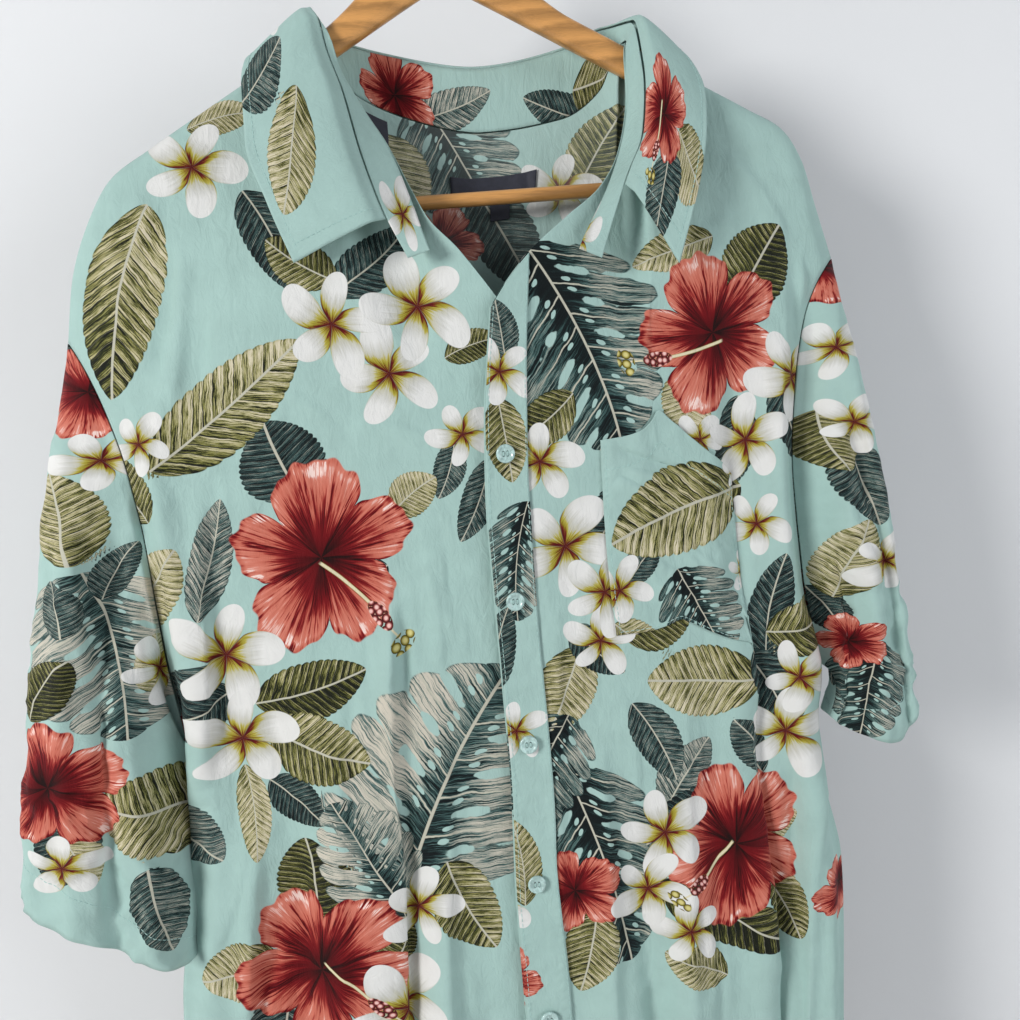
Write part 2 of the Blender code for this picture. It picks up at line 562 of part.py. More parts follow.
def build_buttons(fore):
    """Buttons down the placket, and the collar's own on the stand's far end."""
    seat = 2 * (WALL + LAID_GAP) - WALL / 2 + BUTTON_DEPTH / 2 + PLACKET_EASE
    probe = np.linspace(0.05, 0.99, 900)
    mid = 0.5 * PLACKET[1] + 0 * probe
    height = front(1, mid, probe)[:, 2]
    for i in range(BUTTON_COUNT):
        v = np.interp(-(BUTTON_TOP - i * BUTTON_STEP), -height, probe)
        p, n = laid(fore, np.interp([v], probe, mid), np.array([v]), seat)
        button(f"button_{i + 1}", p[0], n[0])
    at, by = np.array([-0.965]), np.array([0.55])
    p = stand(at, by)[0]
    n = np.cross(stand(at + 0.01, by)[0] - stand(at - 0.01, by)[0],
                 stand(at, by + 0.05)[0] - stand(at, by - 0.05)[0])
    n /= np.linalg.norm(n)
    n *= -1.0 if n[1] < 0 else 1.0
    button("collar_button", p + n * (WALL / 2 + LAID_GAP + BUTTON_DEPTH / 2), n)


# -------------------------------------------------------------------- hanger
def arm_low(x):
    """Lower edge of the hanger with its end lobes."""
    reach = np.abs(x)
    lobe = LOBE_DROP * np.clip((reach - LOBE_START) / (LOBE_END - LOBE_START), 0, 1)
    return ARM_APEX - ARM_SLOPE * np.sqrt(reach ** 2 + (6 * MM) ** 2) + 3.5 * MM - lobe


def arm_high(x):
    """Upper edge of the hanger, flared at the middle and rounded at the ends."""
    reach = np.abs(x)
    flare = ARM_FLARE * (1 - smooth(reach / ARM_FLARE_RUN))
    return ARM_APEX - ARM_SLOPE * reach + ARM_HEIGHT + flare


def build_hanger():
    """One bent wooden bow, a round bar between its ends and a wire hook."""
    x = np.linspace(-1, 1, 39)
    x = np.sort(np.append(ARM_REACH * (0.8 * x + 0.2 * np.sin(x * np.pi / 2)),
                          [-LOBE_END, -LOBE_START, LOBE_START, LOBE_END]))
    low, high = arm_low(x), arm_high(x)
    late = (np.abs(x) - ARM_REACH + ARM_ROUND).clip(0) / ARM_ROUND
    end = np.sqrt(np.clip(1 - late ** 2, 0.02, 1))
    mid, half = (low + high) / 2, (high - low) / 2 * (0.25 + 0.75 * end)
    mid = mid - 1.5 * MM * (1 - end)
    around = np.linspace(0, 2 * np.pi, 14, endpoint=False)
    c, d = np.cos(around), np.sin(around)
    y = np.sign(c) * np.abs(c) ** np.where(d > 0, 1.0, 0.45) * ARM_HALF_DEPTH
    z = np.sign(d) * np.abs(d) ** np.where(d > 0, 1.0, 0.7)
    pts = stack(np.repeat(x[:, None], 14, 1), y[None] * (0.45 + 0.55 * end[:, None]),
                mid[:, None] + half[:, None] * z[None])
    ring = np.arange(len(x) * 14).reshape(len(x), 14)
    nxt = np.roll(ring, -1, axis=1)
    quads = np.stack([ring[:-1], nxt[:-1], nxt[1:], ring[1:]], -1).reshape(-1, 4).tolist()
    quads += [ring[0].tolist()[::-1], ring[-1].tolist()]
    mesh = bpy.data.meshes.new("hanger_bow")
    mesh.from_pydata(pts.reshape(-1, 3).tolist(), [], quads)
    add("hanger_bow", mesh, WOOD, 0.4)

    wire("hanger_bar", [(-BAR_HALF, 0, BAR_Z), (BAR_HALF, 0, BAR_Z)], BAR_RADIUS, 3, WOOD, 0.4, 0.0)
    top = float(arm_high(np.array([0.0]))[0])
    turn = np.radians(np.linspace(-52, 205, 30))
    loop = np.stack([HOOK_RADIUS * np.cos(turn), 0 * turn,
                     HOOK_CENTRE + HOOK_RADIUS * np.sin(turn)], -1)
    shank = [(0, 0, top + 0.3 * MM), (0, 0, top + 12 * MM), (0.8 * MM, 0, top + 18 * MM),
             (4.5 * MM, 0, top + 23.5 * MM)]
    wire("hanger_hook", shank + [tuple(p) for p in loop], WIRE_RADIUS, 2, STEEL, 0.25, 1.0)


def wire(name, points, radius, rounds, colour, roughness, metallic):
    """Round bar or wire along a line of points, with closed ends."""
    curve_data = bpy.data.curves.new(name, "CURVE")
    curve_data.dimensions = "3D"
    curve_data.bevel_depth = radius
    curve_data.bevel_resolution = rounds
    curve_data.use_fill_caps = True
    curve_data.render_resolution_u = 0
    line = curve_data.splines.new("POLY")
    line.points.add(len(points) - 1)
    for spot, p in zip(line.points, points):
        spot.co = (*p, 1.0)
    obj = bpy.data.objects.new(name, curve_data)
    SHIRT.objects.link(obj)
    curve_data.materials.append(material(name + "_surface", colour, roughness, metallic))


for old in list(bpy.data.objects):
    bpy.data.objects.remove(old, do_unlink=True)
SHIRT = bpy.data.collections.new("hawaiian_shirt_on_hanger")
bpy.context.scene.collection.children.link(SHIRT)
build_buttons(build_shirt())
build_hanger()
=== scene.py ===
"""Hawaiian shirt hanging open-necked on a wooden hanger: cloth, print, stitching and hanger.

Metres, +Z up, the front faces -Y, the wearer's left is at +X, the origin is the inner top of the
hanger's hook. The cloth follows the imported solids' own rules, with finer folds and creases.
"""

from functools import partial

import bpy
import numpy as np
from bpy.props import FloatProperty, FloatVectorProperty, PointerProperty
from mathutils import Matrix, Vector


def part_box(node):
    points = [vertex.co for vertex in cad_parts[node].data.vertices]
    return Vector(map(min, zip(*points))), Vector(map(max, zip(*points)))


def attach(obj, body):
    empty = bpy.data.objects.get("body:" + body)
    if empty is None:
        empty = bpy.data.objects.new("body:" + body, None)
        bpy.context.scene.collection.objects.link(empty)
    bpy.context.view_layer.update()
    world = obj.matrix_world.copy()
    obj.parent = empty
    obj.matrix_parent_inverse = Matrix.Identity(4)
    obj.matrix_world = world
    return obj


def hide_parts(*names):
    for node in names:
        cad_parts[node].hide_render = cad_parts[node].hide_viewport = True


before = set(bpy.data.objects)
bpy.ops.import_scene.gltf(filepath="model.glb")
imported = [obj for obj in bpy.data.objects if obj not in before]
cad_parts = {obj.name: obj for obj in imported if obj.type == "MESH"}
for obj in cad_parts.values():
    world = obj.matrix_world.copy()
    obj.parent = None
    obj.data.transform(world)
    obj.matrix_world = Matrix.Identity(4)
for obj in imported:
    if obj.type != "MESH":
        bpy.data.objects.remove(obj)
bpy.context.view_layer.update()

bl_info = {
    "name": "Hawaiian shirt on a hanger",
    "version": (1, 0, 0),
    "blender": (4, 5, 0),
    "location": "3D View > Sidebar > Shirt",
    "description": "Builds a printed short-sleeved shirt on a wooden hanger",
    "category": "Object",
}

MM = 0.001
# ---------------------------------------------------------------- the cut, as in the solids
RIDGE_GAP, SEAM_GAP = 0.6 * MM, 0.7 * MM
FLANK_POWER, OVERLAP_POWER, EASE_DEPTH = 4.0, 5.0, 150 * MM
TURN_RADIUS, TURN_DEPTH = 4 * MM, 7.6 * MM
UNDERARM = 0.48
CAP_REACH, CAP_LIFT, UNDERARM_REACH, UNDERARM_STEP = 30 * MM, 50 * MM, 20 * MM, 1.0 * MM
FOOT_LEAN, FOOT_STEP, REAR_STEP, LEAF_LIFT = 0.55, 2.8 * MM, 1.4 * MM, 1.6 * MM
STAND_END = {-1: 0.22, 1: 0.36}
PLACKET = (0.004, 0.132)
PLACKET_TOP = 0.0009
LABELS = {
    "brand_label": (-0.068, 0.203, 0.052, 0.073), "size_tab": (0.038, 0.104, 0.0765, 0.094),
    "care_label": (-0.264, -0.196, 0.011, 0.038),
}
POCKET = ((0.39, 0.206, 0.371), (0.785, 0.318, 0.4545))
BUTTON_RADIUS, BUTTON_DEPTH = 5.75 * MM, 2.4 * MM
ARM_SLOPE, ARM_APEX, ARM_HEIGHT = 0.589, -110 * MM, 23 * MM
ARM_FLARE, ARM_FLARE_RUN, ARM_ROUND = 22 * MM, 80 * MM, 20 * MM
ARM_REACH, ARM_HALF_DEPTH, LOBE_DROP, LOBE_START = 216 * MM, 6 * MM, 24 * MM, 196 * MM
BAR_Z, BAR_RADIUS, BAR_HALF = -241 * MM, 4.5 * MM, 196.5 * MM
WIRE_RADIUS, HOOK_RADIUS, HOOK_CENTRE = 1.75 * MM, 20.8 * MM, -19.05 * MM
FOLD_RUN = 0.14          # share of a panel's length over which a fold comes and goes
FOLD_GROWTH, FOLD_GROWS = 0.8, 0.55     # how much a fold deepens by the hem, and from where
PANEL_WIDTH = 0.21       # width that one step of s stands for, in metres
PATCH_FADE = 3           # power by which the shape of a panel's upper edge fades downwards
LEVEL_RUN = 0.35         # share of a front below its shoulder that is still being eased
RIDGE_RUN = 0.012        # share of a panel's width over which the shoulder's ridge begins
NECK_END, LEAF_END = 0.5, 0.9           # places of shoulder seams and leaf ends round the neck
SLEEVE_SWELL, CUFF_PULL, LEAD_OUT = 8 * MM, 0.3, 0.6
TO_FRONT, TO_BACK, LEVEL = np.array([0, -1.0, 0]), np.array([0, 1.0, 0]), np.array([1, 1, 0])
# strength of each kind of relief, in mm or as a factor of the tables' mm
FRONT_CRUMPLE, FRONT_CREASE, FRONT_WRINKLE, FRONT_MORE_WRINKLE = 1.15, 2.2, 0.10, 0.38
BACK_WRINKLE, BACK_CREASE = 0.2, 1.3
SLEEVE_CREASE = 2.1
LEAF_CRUMPLE, LEAF_RIM = 0.35, 0.5
PLACKET_LIFT, POCKET_LIFT, POCKET_BULGE = 1.5, 1.15, 0.9

# ------------------------------------------------------ grids, seams and flat cloth
SLEEVE_GRID, CUFF_ROW = (161, 121), 113
POCKET_GRID = (110, 150)
HEM_ROWS = np.array([0.966, 0.970, 0.974])
SEAM_STEP = np.array([-0.004, 0.0, 0.004])
COLLAR_HALF, STAND_DEEP, LEAF_DEEP = 265.0, 30.0, -78.0
LEAF_WALL, LABEL_WALL, LABEL_LIFT = 1.2 * MM, 0.45 * MM, 1.3
HOLE_STEP, HOLE_RADIUS, STRAND_RADIUS = 1.25 * MM, 0.62 * MM, 0.16 * MM
FLAT_SEAM, HEM_SEAM, COLLAR_SEAM = 0.25, 0.3, 0.75      # lift of the stitches in mm
STITCH_GAP = 0.7 * MM
CAMERA_SPOT, CAMERA_TURN = (-0.050, -0.657, -0.398), (5.3, -3.65, -5.46)

# creases laid on the flat cloth, in mm: x and z of both ends, half width, height of
# the ridge (or depth, below 0), bow to one side
FRONT_CREASES = {
    -1: ((-69, -460, -105, -880, 5.7, 4.5, 2.5), (-163, -604, -200, -880, 5.7, 3.5, -1.9),
         (-172, -395, -242, -880, 5.7, 3.5, 3.1), (-53, -652, -66, -880, 5.0, 2.2, -1.9),
         (-103, -506, -131, -880, 5.7, 1.4, -3.8), (-141, -619, -158, -880, 3.8, -1.1, 1.9),
         (-46, -550, -66, -880, 5.0, 1.1, 2.5), (-69, -485, -79, -546, 3.1, 0.9, 1.9),
         (-64, -510, -73, -560, 3.1, -0.9, 1.3), (-91, -507, -91, -583, 3.8, 0.7, -2.5),
         (-98, -229, -84, -273, 5.0, 0.8, 2.5), (-183, -225, -213, -308, 5.7, 1.1, -3.8),
         (-178, -256, -198, -345, 4.4, -1.3, 3.8), (-169, -264, -189, -364, 3.8, 1.3, 2.5),
         (-160, -295, -186, -394, 3.8, -0.9, 3.1), (-176, -413, -192, -497, 3.8, 1.0, 2.5),
         (-165, -396, -180, -473, 3.1, -0.8, 1.9), (-173, -628, -202, -701, 3.8, 0.9, 3.1),
         (-152, -664, -227, -880, 3.8, -1.2, 3.1), (-44, -463, -45, -538, 3.1, 0.7, 1.9),
         (-83, -374, -36, -390, 3.1, 0.6, 2.5), (-122, -352, -94, -373, 2.5, 0.6, 1.3),
         (-145, -248, -81, -243, 6.3, 0.7, 3.8), (-36, -451, -35, -513, 2.5, 0.6, -1.9)),
    1: ((154, -485, 150, -880, 5.7, 4.2, -2.5), (208, -480, 166, -880, 5.0, 3.4, 1.9),
        (51, -574, 37, -880, 5.7, 2.8, 2.5), (107, -530, 85, -880, 5.7, 1.4, 3.1),
        (179, -580, 166, -880, 3.8, -1.4, 1.3), (34, -471, 4, -880, 3.8, 1.1, -1.9),
        (129, -572, 104, -880, 3.8, -1.1, 1.9), (73, -404, 128, -425, 2.5, -0.8, -1.9),
        (77, -419, 121, -430, 2.5, 0.7, -1.9), (73, -425, 93, -440, 2.5, 0.8, 1.9),
        (68, -563, 72, -629, 3.1, 0.8, 2.5), (111, -563, 111, -635, 3.8, 0.8, 2.5),
        (155, -512, 155, -578, 3.8, 0.9, 1.9), (168, -486, 167, -566, 3.1, -0.9, 1.9),
        (211, -291, 208, -399, 2.5, 1.6, 1.3), (215, -400, 206, -493, 2.5, 1.4, 0.6),
        (191, -323, 188, -405, 3.1, -1.0, 1.9), (75, -683, 75, -766, 3.8, 0.9, 1.9),
        (104, -698, 106, -770, 3.8, -0.9, 1.9), (151, -685, 151, -769, 3.8, 0.9, 1.9),
        (26, -571, 37, -624, 3.1, 0.7, 2.5), (164, -225, 203, -291, 5.0, 0.9, 5.0),
        (85, -476, 122, -500, 3.1, 0.5, 1.9), (23, -526, 21, -596, 2.5, -0.7, 1.3)),
}
SLEEVE_CREASES = {
    -1: ((-250, -410, -252, -525, 3.1, 2.2, -2.5), (-252, -525, -258, -585, 3.1, 2.0, 0.0),
         (-239, -387, -226, -437, 3.8, 1.5, 2.5), (-242, -348, -235, -420, 3.8, -1.4, 3.1),
         (-253, -357, -261, -439, 3.8, 1.2, 1.9), (-226, -437, -213, -537, 3.1, 1.6, 3.1),
         (-221, -495, -215, -576, 3.1, -1.5, 3.1), (-260, -486, -271, -556, 3.8, 1.2, 1.3),
         (-253, -611, -229, -662, 3.1, 1.3, 2.5), (-259, -623, -245, -671, 3.1, -1.2, 2.5),
         (-238, -600, -222, -634, 3.1, 1.1, -2.5), (-280, -557, -285, -630, 3.1, 1.2, 1.9),
         (-235, -467, -232, -540, 3.1, -1.0, 1.3), (-259, -585, -267, -664, 3.1, 1.6, 0.0),
         (-229, -646, -226, -693, 2.5, 1.2, 1.3)),
    1: ((237, -290, 235, -363, 2.5, 1.3, 1.3), (232, -323, 225, -413, 2.5, -1.2, 1.3),
        (239, -344, 240, -416, 2.5, 1.2, 1.3), (239, -403, 239, -468, 2.5, -1.2, 1.3),
        (231, -414, 227, -492, 3.1, 1.1, 1.9), (235, -480, 238, -545, 2.5, 1.4, 1.9),
        (218, -498, 239, -504, 3.1, 1.2, 2.5), (205, -544, 223, -570, 2.5, 1.8, 2.5),
        (212, -519, 229, -530, 2.5, -1.2, 1.9), (224, -546, 233, -577, 2.5, 1.6, -2.5),
        (234, -565, 260, -575, 2.5, 1.8, 1.9), (215, -584, 230, -597, 2.5, -1.4, 1.9),
        (218, -575, 233, -591, 1.9, 1.2, -1.9), (240, -520, 249, -562, 2.5, -1.2, 1.3),
        (222, -466, 232, -479, 3.1, 0.9, 2.5)),
}
BACK_CREASES = ((-120, -300, -160, -520, 8, 1.6, 10), (60, -260, 90, -460, 9, -1.5, -10),
                (150, -300, 180, -500, 7, 1.4, 8), (-30, -420, -50, -640, 8, 1.2, 6),
                (-180, -600, -150, -820, 7, 1.3, -8), (110, -560, 130, -760, 8, -1.2, 8),
                (20, -640, 10, -860, 7, 1.1, 5), (-90, -700, -110, -930, 7, -1.1, -6),
                (-20, -230, -70, -330, 5, 0.9, 6), (90, -220, 60, -320, 5, -0.8, 5))

# ------------------------------------------------ tables of the cut, all in millimetres
# a, seam x y z, roll x y z, drop of the stand's foot: round the neck from the
# wearer's right end (-1) by the middle of the back (0) to the left end (+1)
NECK = (
    (-1.00, -25, -35, -258, -40, -50, -284, 22),
    (-0.88, -33, -26, -238, -51, -47, -256, 8),
    (-0.76, -44, -15, -208, -61, -33, -216, 0),
    (-0.66, -58, -9.5, -181, -68, -21, -176, 0),
    (-0.60, -68, -10.5, -160, -75, -15, -149, 0),
    (-0.54, -73, -9.5, -138, -78, -11, -129, 0),
    (-0.52, -77.6, -6.6, -134, -80.5, -6, -123, 0),
    (-0.50, -80, 0, -130.6, -82, 0, -119, 0),
    (-0.46, -73, 10, -139, -77, 11, -125, 0),
    (-0.38, -70, 16, -155, -74, 18, -128, 0),
    (-0.22, -42, 23, -176, -44, 27, -137, 0),
    (0.00, 18, 25.5, -193, 20, 30, -149, 0),
    (0.24, 72, 23, -188, 75, 27, -142, 0),
    (0.38, 98, 16.5, -173, 102, 20, -133, 0),
    (0.46, 106, 11, -158, 112, 12, -134, 0),
    (0.50, 112, 0, -150.0, 118, 0, -137, 0),
    (0.52, 111.4, -6.6, -153.2, 118.3, -6.5, -141, 0),
    (0.54, 109, -9.5, -159, 118, -12, -147, 0),
    (0.61, 108, -10, -185, 118, -20, -171, 0),
    (0.74, 99, -14.5, -221, 112, -31, -214, 0),
    (0.88, 82, -27, -246, 97, -42, -244, 8),
    (1.00, 61, -36, -262, 76, -51, -293, 24),
)
# a, outer edge x y z, arch in y, arch in z: the folded-down leaf
LEAF = (
    (-0.90, -105, -52, -282, -5, 1),
    (-0.80, -117, -48, -246, -6, 3),
    (-0.68, -127, -35, -207, -6, 5),
    (-0.56, -127, -20, -168, -4, 4),
    (-0.47, -122, -1, -146, 0, 3),
    (-0.34, -98, 28, -164, 5, 5),
    (-0.18, -50, 35, -190, 5, 1),
    (0.00, 19, 36.5, -208, 5, 1),
    (0.18, 68, 35, -200, 5, 1),
    (0.34, 118, 27, -176, 5, 5),
    (0.48, 142, 1, -155, 0, 5),
    (0.60, 156, -16, -184, -4, 6),
    (0.70, 151, -33, -214, -5, 5),
    (0.80, 140, -47, -250, -6, 3),
    (0.90, 121, -54, -300, -5, 1),
)
# s, x, z along the shoulder seam from the neck to the shoulder point
SHOULDER = {
    -1: ((0.44, -80, -130.6), (0.54, -110, -150.4), (0.655, -150, -174), (0.763, -190, -197.5),
         (0.832, -214, -213), (0.892, -231, -239), (0.951, -244, -272), (1.0, -251, -310)),
    1: ((0.60, 112, -150.0), (0.67, 140, -167.6), (0.735, 165, -182.4), (0.805, 190, -197.2),
        (0.87, 211, -210.6), (0.92, 223, -232), (0.962, 230, -262), (1.0, 238, -296)),
}
# v, x, z, y of the front edge, y of the back edge: armhole, then side seam
SIDE = {
    -1: ((0.0, -251, -310, -0.6, 0.6), (0.05, -241, -324, -14, 8), (0.12, -227, -356, -25, 14),
         (0.20, -217, -396, -29, 17), (0.30, -212, -446, -27, 17), (0.40, -211, -506, -15, 11),
         (0.48, -208, -562, -0.7, 0.7), (0.54, -204, -610, -0.7, 0.7),
         (0.62, -211, -675, -0.7, 0.7), (0.69, -221, -735, -0.7, 0.7),
         (0.80, -226, -830, -0.7, 0.7), (1.0, -222, -1000, -0.7, 0.7)),
    1: ((0.0, 238, -296, -0.6, 0.6), (0.05, 226, -307, -12, 8), (0.12, 211, -334, -15, 12),
        (0.20, 202, -377, -13, 14), (0.30, 197, -433, -10, 14), (0.40, 199, -502, -7, 10),
        (0.48, 206, -562, -0.7, 0.7), (0.53, 201, -602, -0.7, 0.7),
        (0.59, 207, -650, -0.7, 0.7), (0.65, 214, -698, -0.7, 0.7),
        (0.80, 206, -830, -0.7, 0.7), (1.0, 200, -1000, -0.7, 0.7)),
}
# s, x, y, z along the open neck, from the top of the closed front to the stand's end
OPENING = {
    -1: ((0.0, 17, -41.2, -318), (0.066, 3, -40.2, -296), (0.132, -9, -38.4, -278)),
    1: ((0.0, 6, -45, -316), (0.066, 18, -43.6, -300), (0.132, 33, -41.6, -284)),
}
# v, x, y, z down the front edge of each half
EDGE = {
    -1: ((0.0, 17, -41.2, -318), (0.10, 20, -41, -386), (0.20, 18, -38.8, -454),
         (0.40, 13, -33.4, -590), (0.55, 9, -29.4, -692), (0.77, 9, -25.4, -843),
         (1.0, 9, -22.4, -1000)),
    1: ((0.0, 6, -45, -316), (0.10, -4, -44.4, -385), (0.20, -8, -42, -453),
        (0.40, -8, -36.4, -590), (0.55, -12, -32.4, -692), (0.77, -13, -28.4, -843),
        (1.0, -12, -25.4, -1000)),
}
# v, y of the back panel at its middle
BACK_DEPTH = ((0.0, 25), (0.15, 22), (0.4, 19), (0.7, 21), (1.0, 24))
# t, x, y, z round each cuff: outer edge, front, inner edge, back, outer edge
CUFF = {
    -1: ((0.0, -316, -12, -648), (0.10, -304, -32, -655), (0.22, -272, -38, -670),
         (0.36, -241, -34, -692), (0.46, -224, -20, -700), (0.54, -220, 0, -696),
         (0.66, -240, 17, -682), (0.80, -276, 19, -664), (0.92, -307, 8, -650),
         (1.0, -316, -12, -648)),
    1: ((0.0, 268, -8, -580), (0.10, 262, -26, -602), (0.22, 246, -31, -614),
        (0.36, 224, -28, -607), (0.46, 211, -17, -600), (0.54, 210, 0, -596),
        (0.66, 222, 15, -592), (0.80, 245, 17, -588), (0.92, 263, 8, -580),
        (1.0, 268, -8, -580)),
}
# s at top, s at hem, v start, v end, half width, depth to the front, sideways lean
FRONT_FOLDS = {
    -1: ((0.93, 0.93, 0.16, 1.2, 9, 9, 1), (0.43, 0.42, 0.42, 1.2, 10, -7, 0),
         (0.56, 0.56, 0.45, 1.2, 20, 8, 0), (0.76, 0.70, 0.40, 1.2, 16, -7, 0),
         (0.31, 0.30, 0.60, 1.2, 14, 6, 0), (0.80, 0.66, 0.04, 0.30, 16, -4, 0)),
    1: ((0.93, 0.90, 0.10, 1.2, 10, 11, 2), (0.80, 0.73, 0.18, 1.2, 8, -8, 0),
        (0.38, 0.38, 0.50, 1.2, 9, -7, 0), (0.52, 0.50, 0.52, 1.2, 18, 8, 0),
        (0.27, 0.29, 0.62, 1.2, 12, 5, 0)),
}
BACK_FOLDS = (
    (-0.62, -0.60, 0.28, 1.2, 24, -7, 0), (-0.28, -0.30, 0.34, 1.2, 22, -8, 0),
    (0.06, 0.04, 0.30, 1.2, 26, -6, 0), (0.40, 0.36, 0.34, 1.2, 20, -8, 0),
    (0.70, 0.66, 0.28, 1.2, 22, -7, 0),
)
# t at armhole, t at cuff, r start, r end, half width in t, depth outwards
SLEEVE_FOLDS = {
    -1: ((0.16, 0.20, 0.15, 1.3, 0.035, 5), (0.27, 0.29, 0.05, 1.3, 0.030, -7),
         (0.38, 0.40, 0.10, 1.3, 0.040, 5), (0.62, 0.60, 0.10, 1.3, 0.040, -6),
         (0.80, 0.80, 0.10, 1.3, 0.050, 5)),
    1: ((0.17, 0.15, 0.20, 1.3, 0.030, -6), (0.29, 0.28, 0.15, 1.3, 0.040, 5),
        (0.38, 0.41, 0.30, 1.3, 0.025, -5), (0.62, 0.60, 0.10, 1.3, 0.040, -6),
        (0.80, 0.80, 0.10, 1.3, 0.050, 5)),
}

# ------------------------------------------------------------------ tables of the print
def motifs(**groups):
    """Rows of layer, kind, x, z, turn, half length, half width, lightness at base and at tip,
    with lengths in mm on the flat cloth. A group is named by its layer, with its kind for
    leaves. Leaves give all seven numbers, blooms one size and one lightness, stars and
    stamens one or two sizes."""
    rows = []
    for name, group in groups.items():
        first, _, last = name.partition("_")
        layer, kind = (first, last) if first in ("under", "leaf") else (name, first)
        for x, z, turn, *more in group:
            if kind == "bloom":
                more = more[:1] * 2 + more[1:] * 2
            elif kind in ("star", "stamen"):
                more = [more[0], more[-1], 0, 0]
            rows.append((layer, kind, x, z, turn, *more))
    return tuple(rows)


RIGHT_FRONT_PRINT = motifs(
    under_split=((-44, -603, 61, 81, 61, 0.7, 0.95),),
    under_olive=((-209, -291, -105, 60, 22, 0.9, 0.22), (-124, -535, 13, 36, 17, 0, 0.22),
                 (-135, -656, 94, 26, 23, 0, 0.12), (-214, -465, 50, 31, 17, 0.8, 1),
                 (-90, -702, 62, 19, 14, 0.1, 0.35), (-143, -184, 9, 22, 10, 0.6, 0.9),
                 (-6, -337, 15, 18, 9, 0.15, 0.4)),
    under_teal=((-166, -756, -106, 33, 19, 0.2, 0.4), (-126, -395, 111, 26, 24, 0.1, 0.22),
                (-209, -538, -143, 39, 15, 0.2, 0.4), (-119, -263, -68, 35, 15, 0.08, 0.25),
                (-97, -476, -156, 30, 16, 0.1, 0.2), (-61, -281, 40, 32, 14, 0.15, 0.3),
                (-140, -606, -42, 22, 13, 0.05, 0.2), (-28, -410, -111, 18, 9, 0.25, 0.45)),
    leaf_split=((-101, -646, 112, 43, 26, 0.6, 0.95),),
    leaf_olive=((-155, -360, 36, 59, 21, 0.3, 0.95), (-124, -573, -24, 33, 20, 0.3, 0.62),
                (-41, -684, -67, 33, 18, 0.25, 0.6), (-185, -711, -168, 22, 18, 0.7, 0.95),
                (-219, -403, 115, 24, 13, 0.3, 0.7), (-103, -279, 144, 24, 13, 0.2, 0.5),
                (-168, -611, -87, 31, 9, 0.8, 1), (-50, -422, 35, 17, 12, 0.6, 0.95)),
    leaf_teal=((-176, -450, 71, 38, 12, 0.55, 0.75), (-197, -545, -152, 30, 14, 0.05, 0.15),
               (-203, -621, -51, 24, 16, 0.25, 0.6), (-12, -430, -115, 27, 10, 0.3, 0.4)),
    bloom=((-109, -455, 34, 59, 0.1), (-135, -713, 74, 56, 0.35)),
    star_low=((-57, -349, -25, 34), (-72, -681, 14, 29), (-208, -377, -6, 21)),
    star=((-173, -509, 87, 38), (-91, -743, -10, 38), (-163, -213, 5, 35), (-88, -317, 15, 34),
          (-17, -389, 54, 23)),
    star_top=((-36, -310, 50, 37), (-170, -563, 26, 36)),
    stamen=((-87, -487, -51, 38, 12), (-112, -733, -51, 33, 9)))
LEFT_FRONT_PRINT = motifs(
    under_split=((59, -342, -69, 68, 46, 0.2, 0.6), (44, -666, -76, 69, 36, 0.15, 0.5)),
    under_olive=((118, -558, 172, 35, 21, 0.55, 0.9), (101, -741, 152, 22, 13, 0.5, 0.8),
                 (31, -553, -115, 29, 17, 0.6, 0.9), (95, -516, 22, 25, 16, 0.2, 0.5),
                 (164, -715, -66, 28, 14, 0.2, 0.5)),
    under_teal=((224, -498, -98, 32, 19, 0.1, 0.25), (172, -521, 78, 39, 13, 0.1, 0.25),
                (197, -399, -67, 31, 16, 0.15, 0.3), (148, -606, 117, 23, 11, 0.2, 0.4),
                (153, -412, -104, 32, 13, 0.1, 0.2), (104, -616, 53, 27, 15, 0.55, 0.8),
                (68, -450, -126, 27, 14, 0.1, 0.3)),
    leaf_split=((14, -602, -115, 38, 26, 0.5, 0.2),),
    leaf_olive=((111, -450, -163, 48, 27, 0.1, 0.62), (120, -712, -37, 49, 17, 0, 0.12),
                (178, -300, 53, 30, 21, 0.05, 0.15), (199, -532, 7, 32, 17, 0.2, 0.5),
                (32, -722, -105, 28, 16, 0.4, 0.7), (125, -382, -100, 22, 16, 0.85, 1),
                (124, -289, -164, 27, 12, 0.55, 0.9), (33, -385, -146, 24, 13, 0.2, 0.4),
                (3, -549, -76, 17, 9, 0.3, 0.6), (162, -664, 33, 19, 10, 0.85, 1)),
    leaf_teal=((104, -647, -160, 32, 17, 0.05, 0.2), (167, -573, -65, 33, 15, 0.05, 0.2),
               (86, -592, -65, 29, 13, 0.2, 0.5), (53, -530, -46, 23, 11, 0.05, 0.2)),
    bloom=((133, -667, 142, 53, 0.5), (143, -341, 54, 50, 0.2), (209, -713, 82, 24, 0.6),
           (26, -682, -66, 30, 0.8), (-27, -737, 12, 27, 0.15)),
    star_low=((56, -524, 23, 25), (97, -716, 37, 25), (130, -406, -5, 19)),
    star=((39, -463, 70, 37), (87, -652, 44, 32), (175, -600, 19, 32), (162, -409, 31, 31)),
    star_top=((198, -371, 59, 35), (61, -494, 3, 29), (28, -410, 24, 28), (74, -689, 1, 28),
              (186, -565, 55, 25), (165, -463, -5, 24)),
    stamen=((116, -350, -173, 34, 11), (110, -681, -143, 27, 11)))
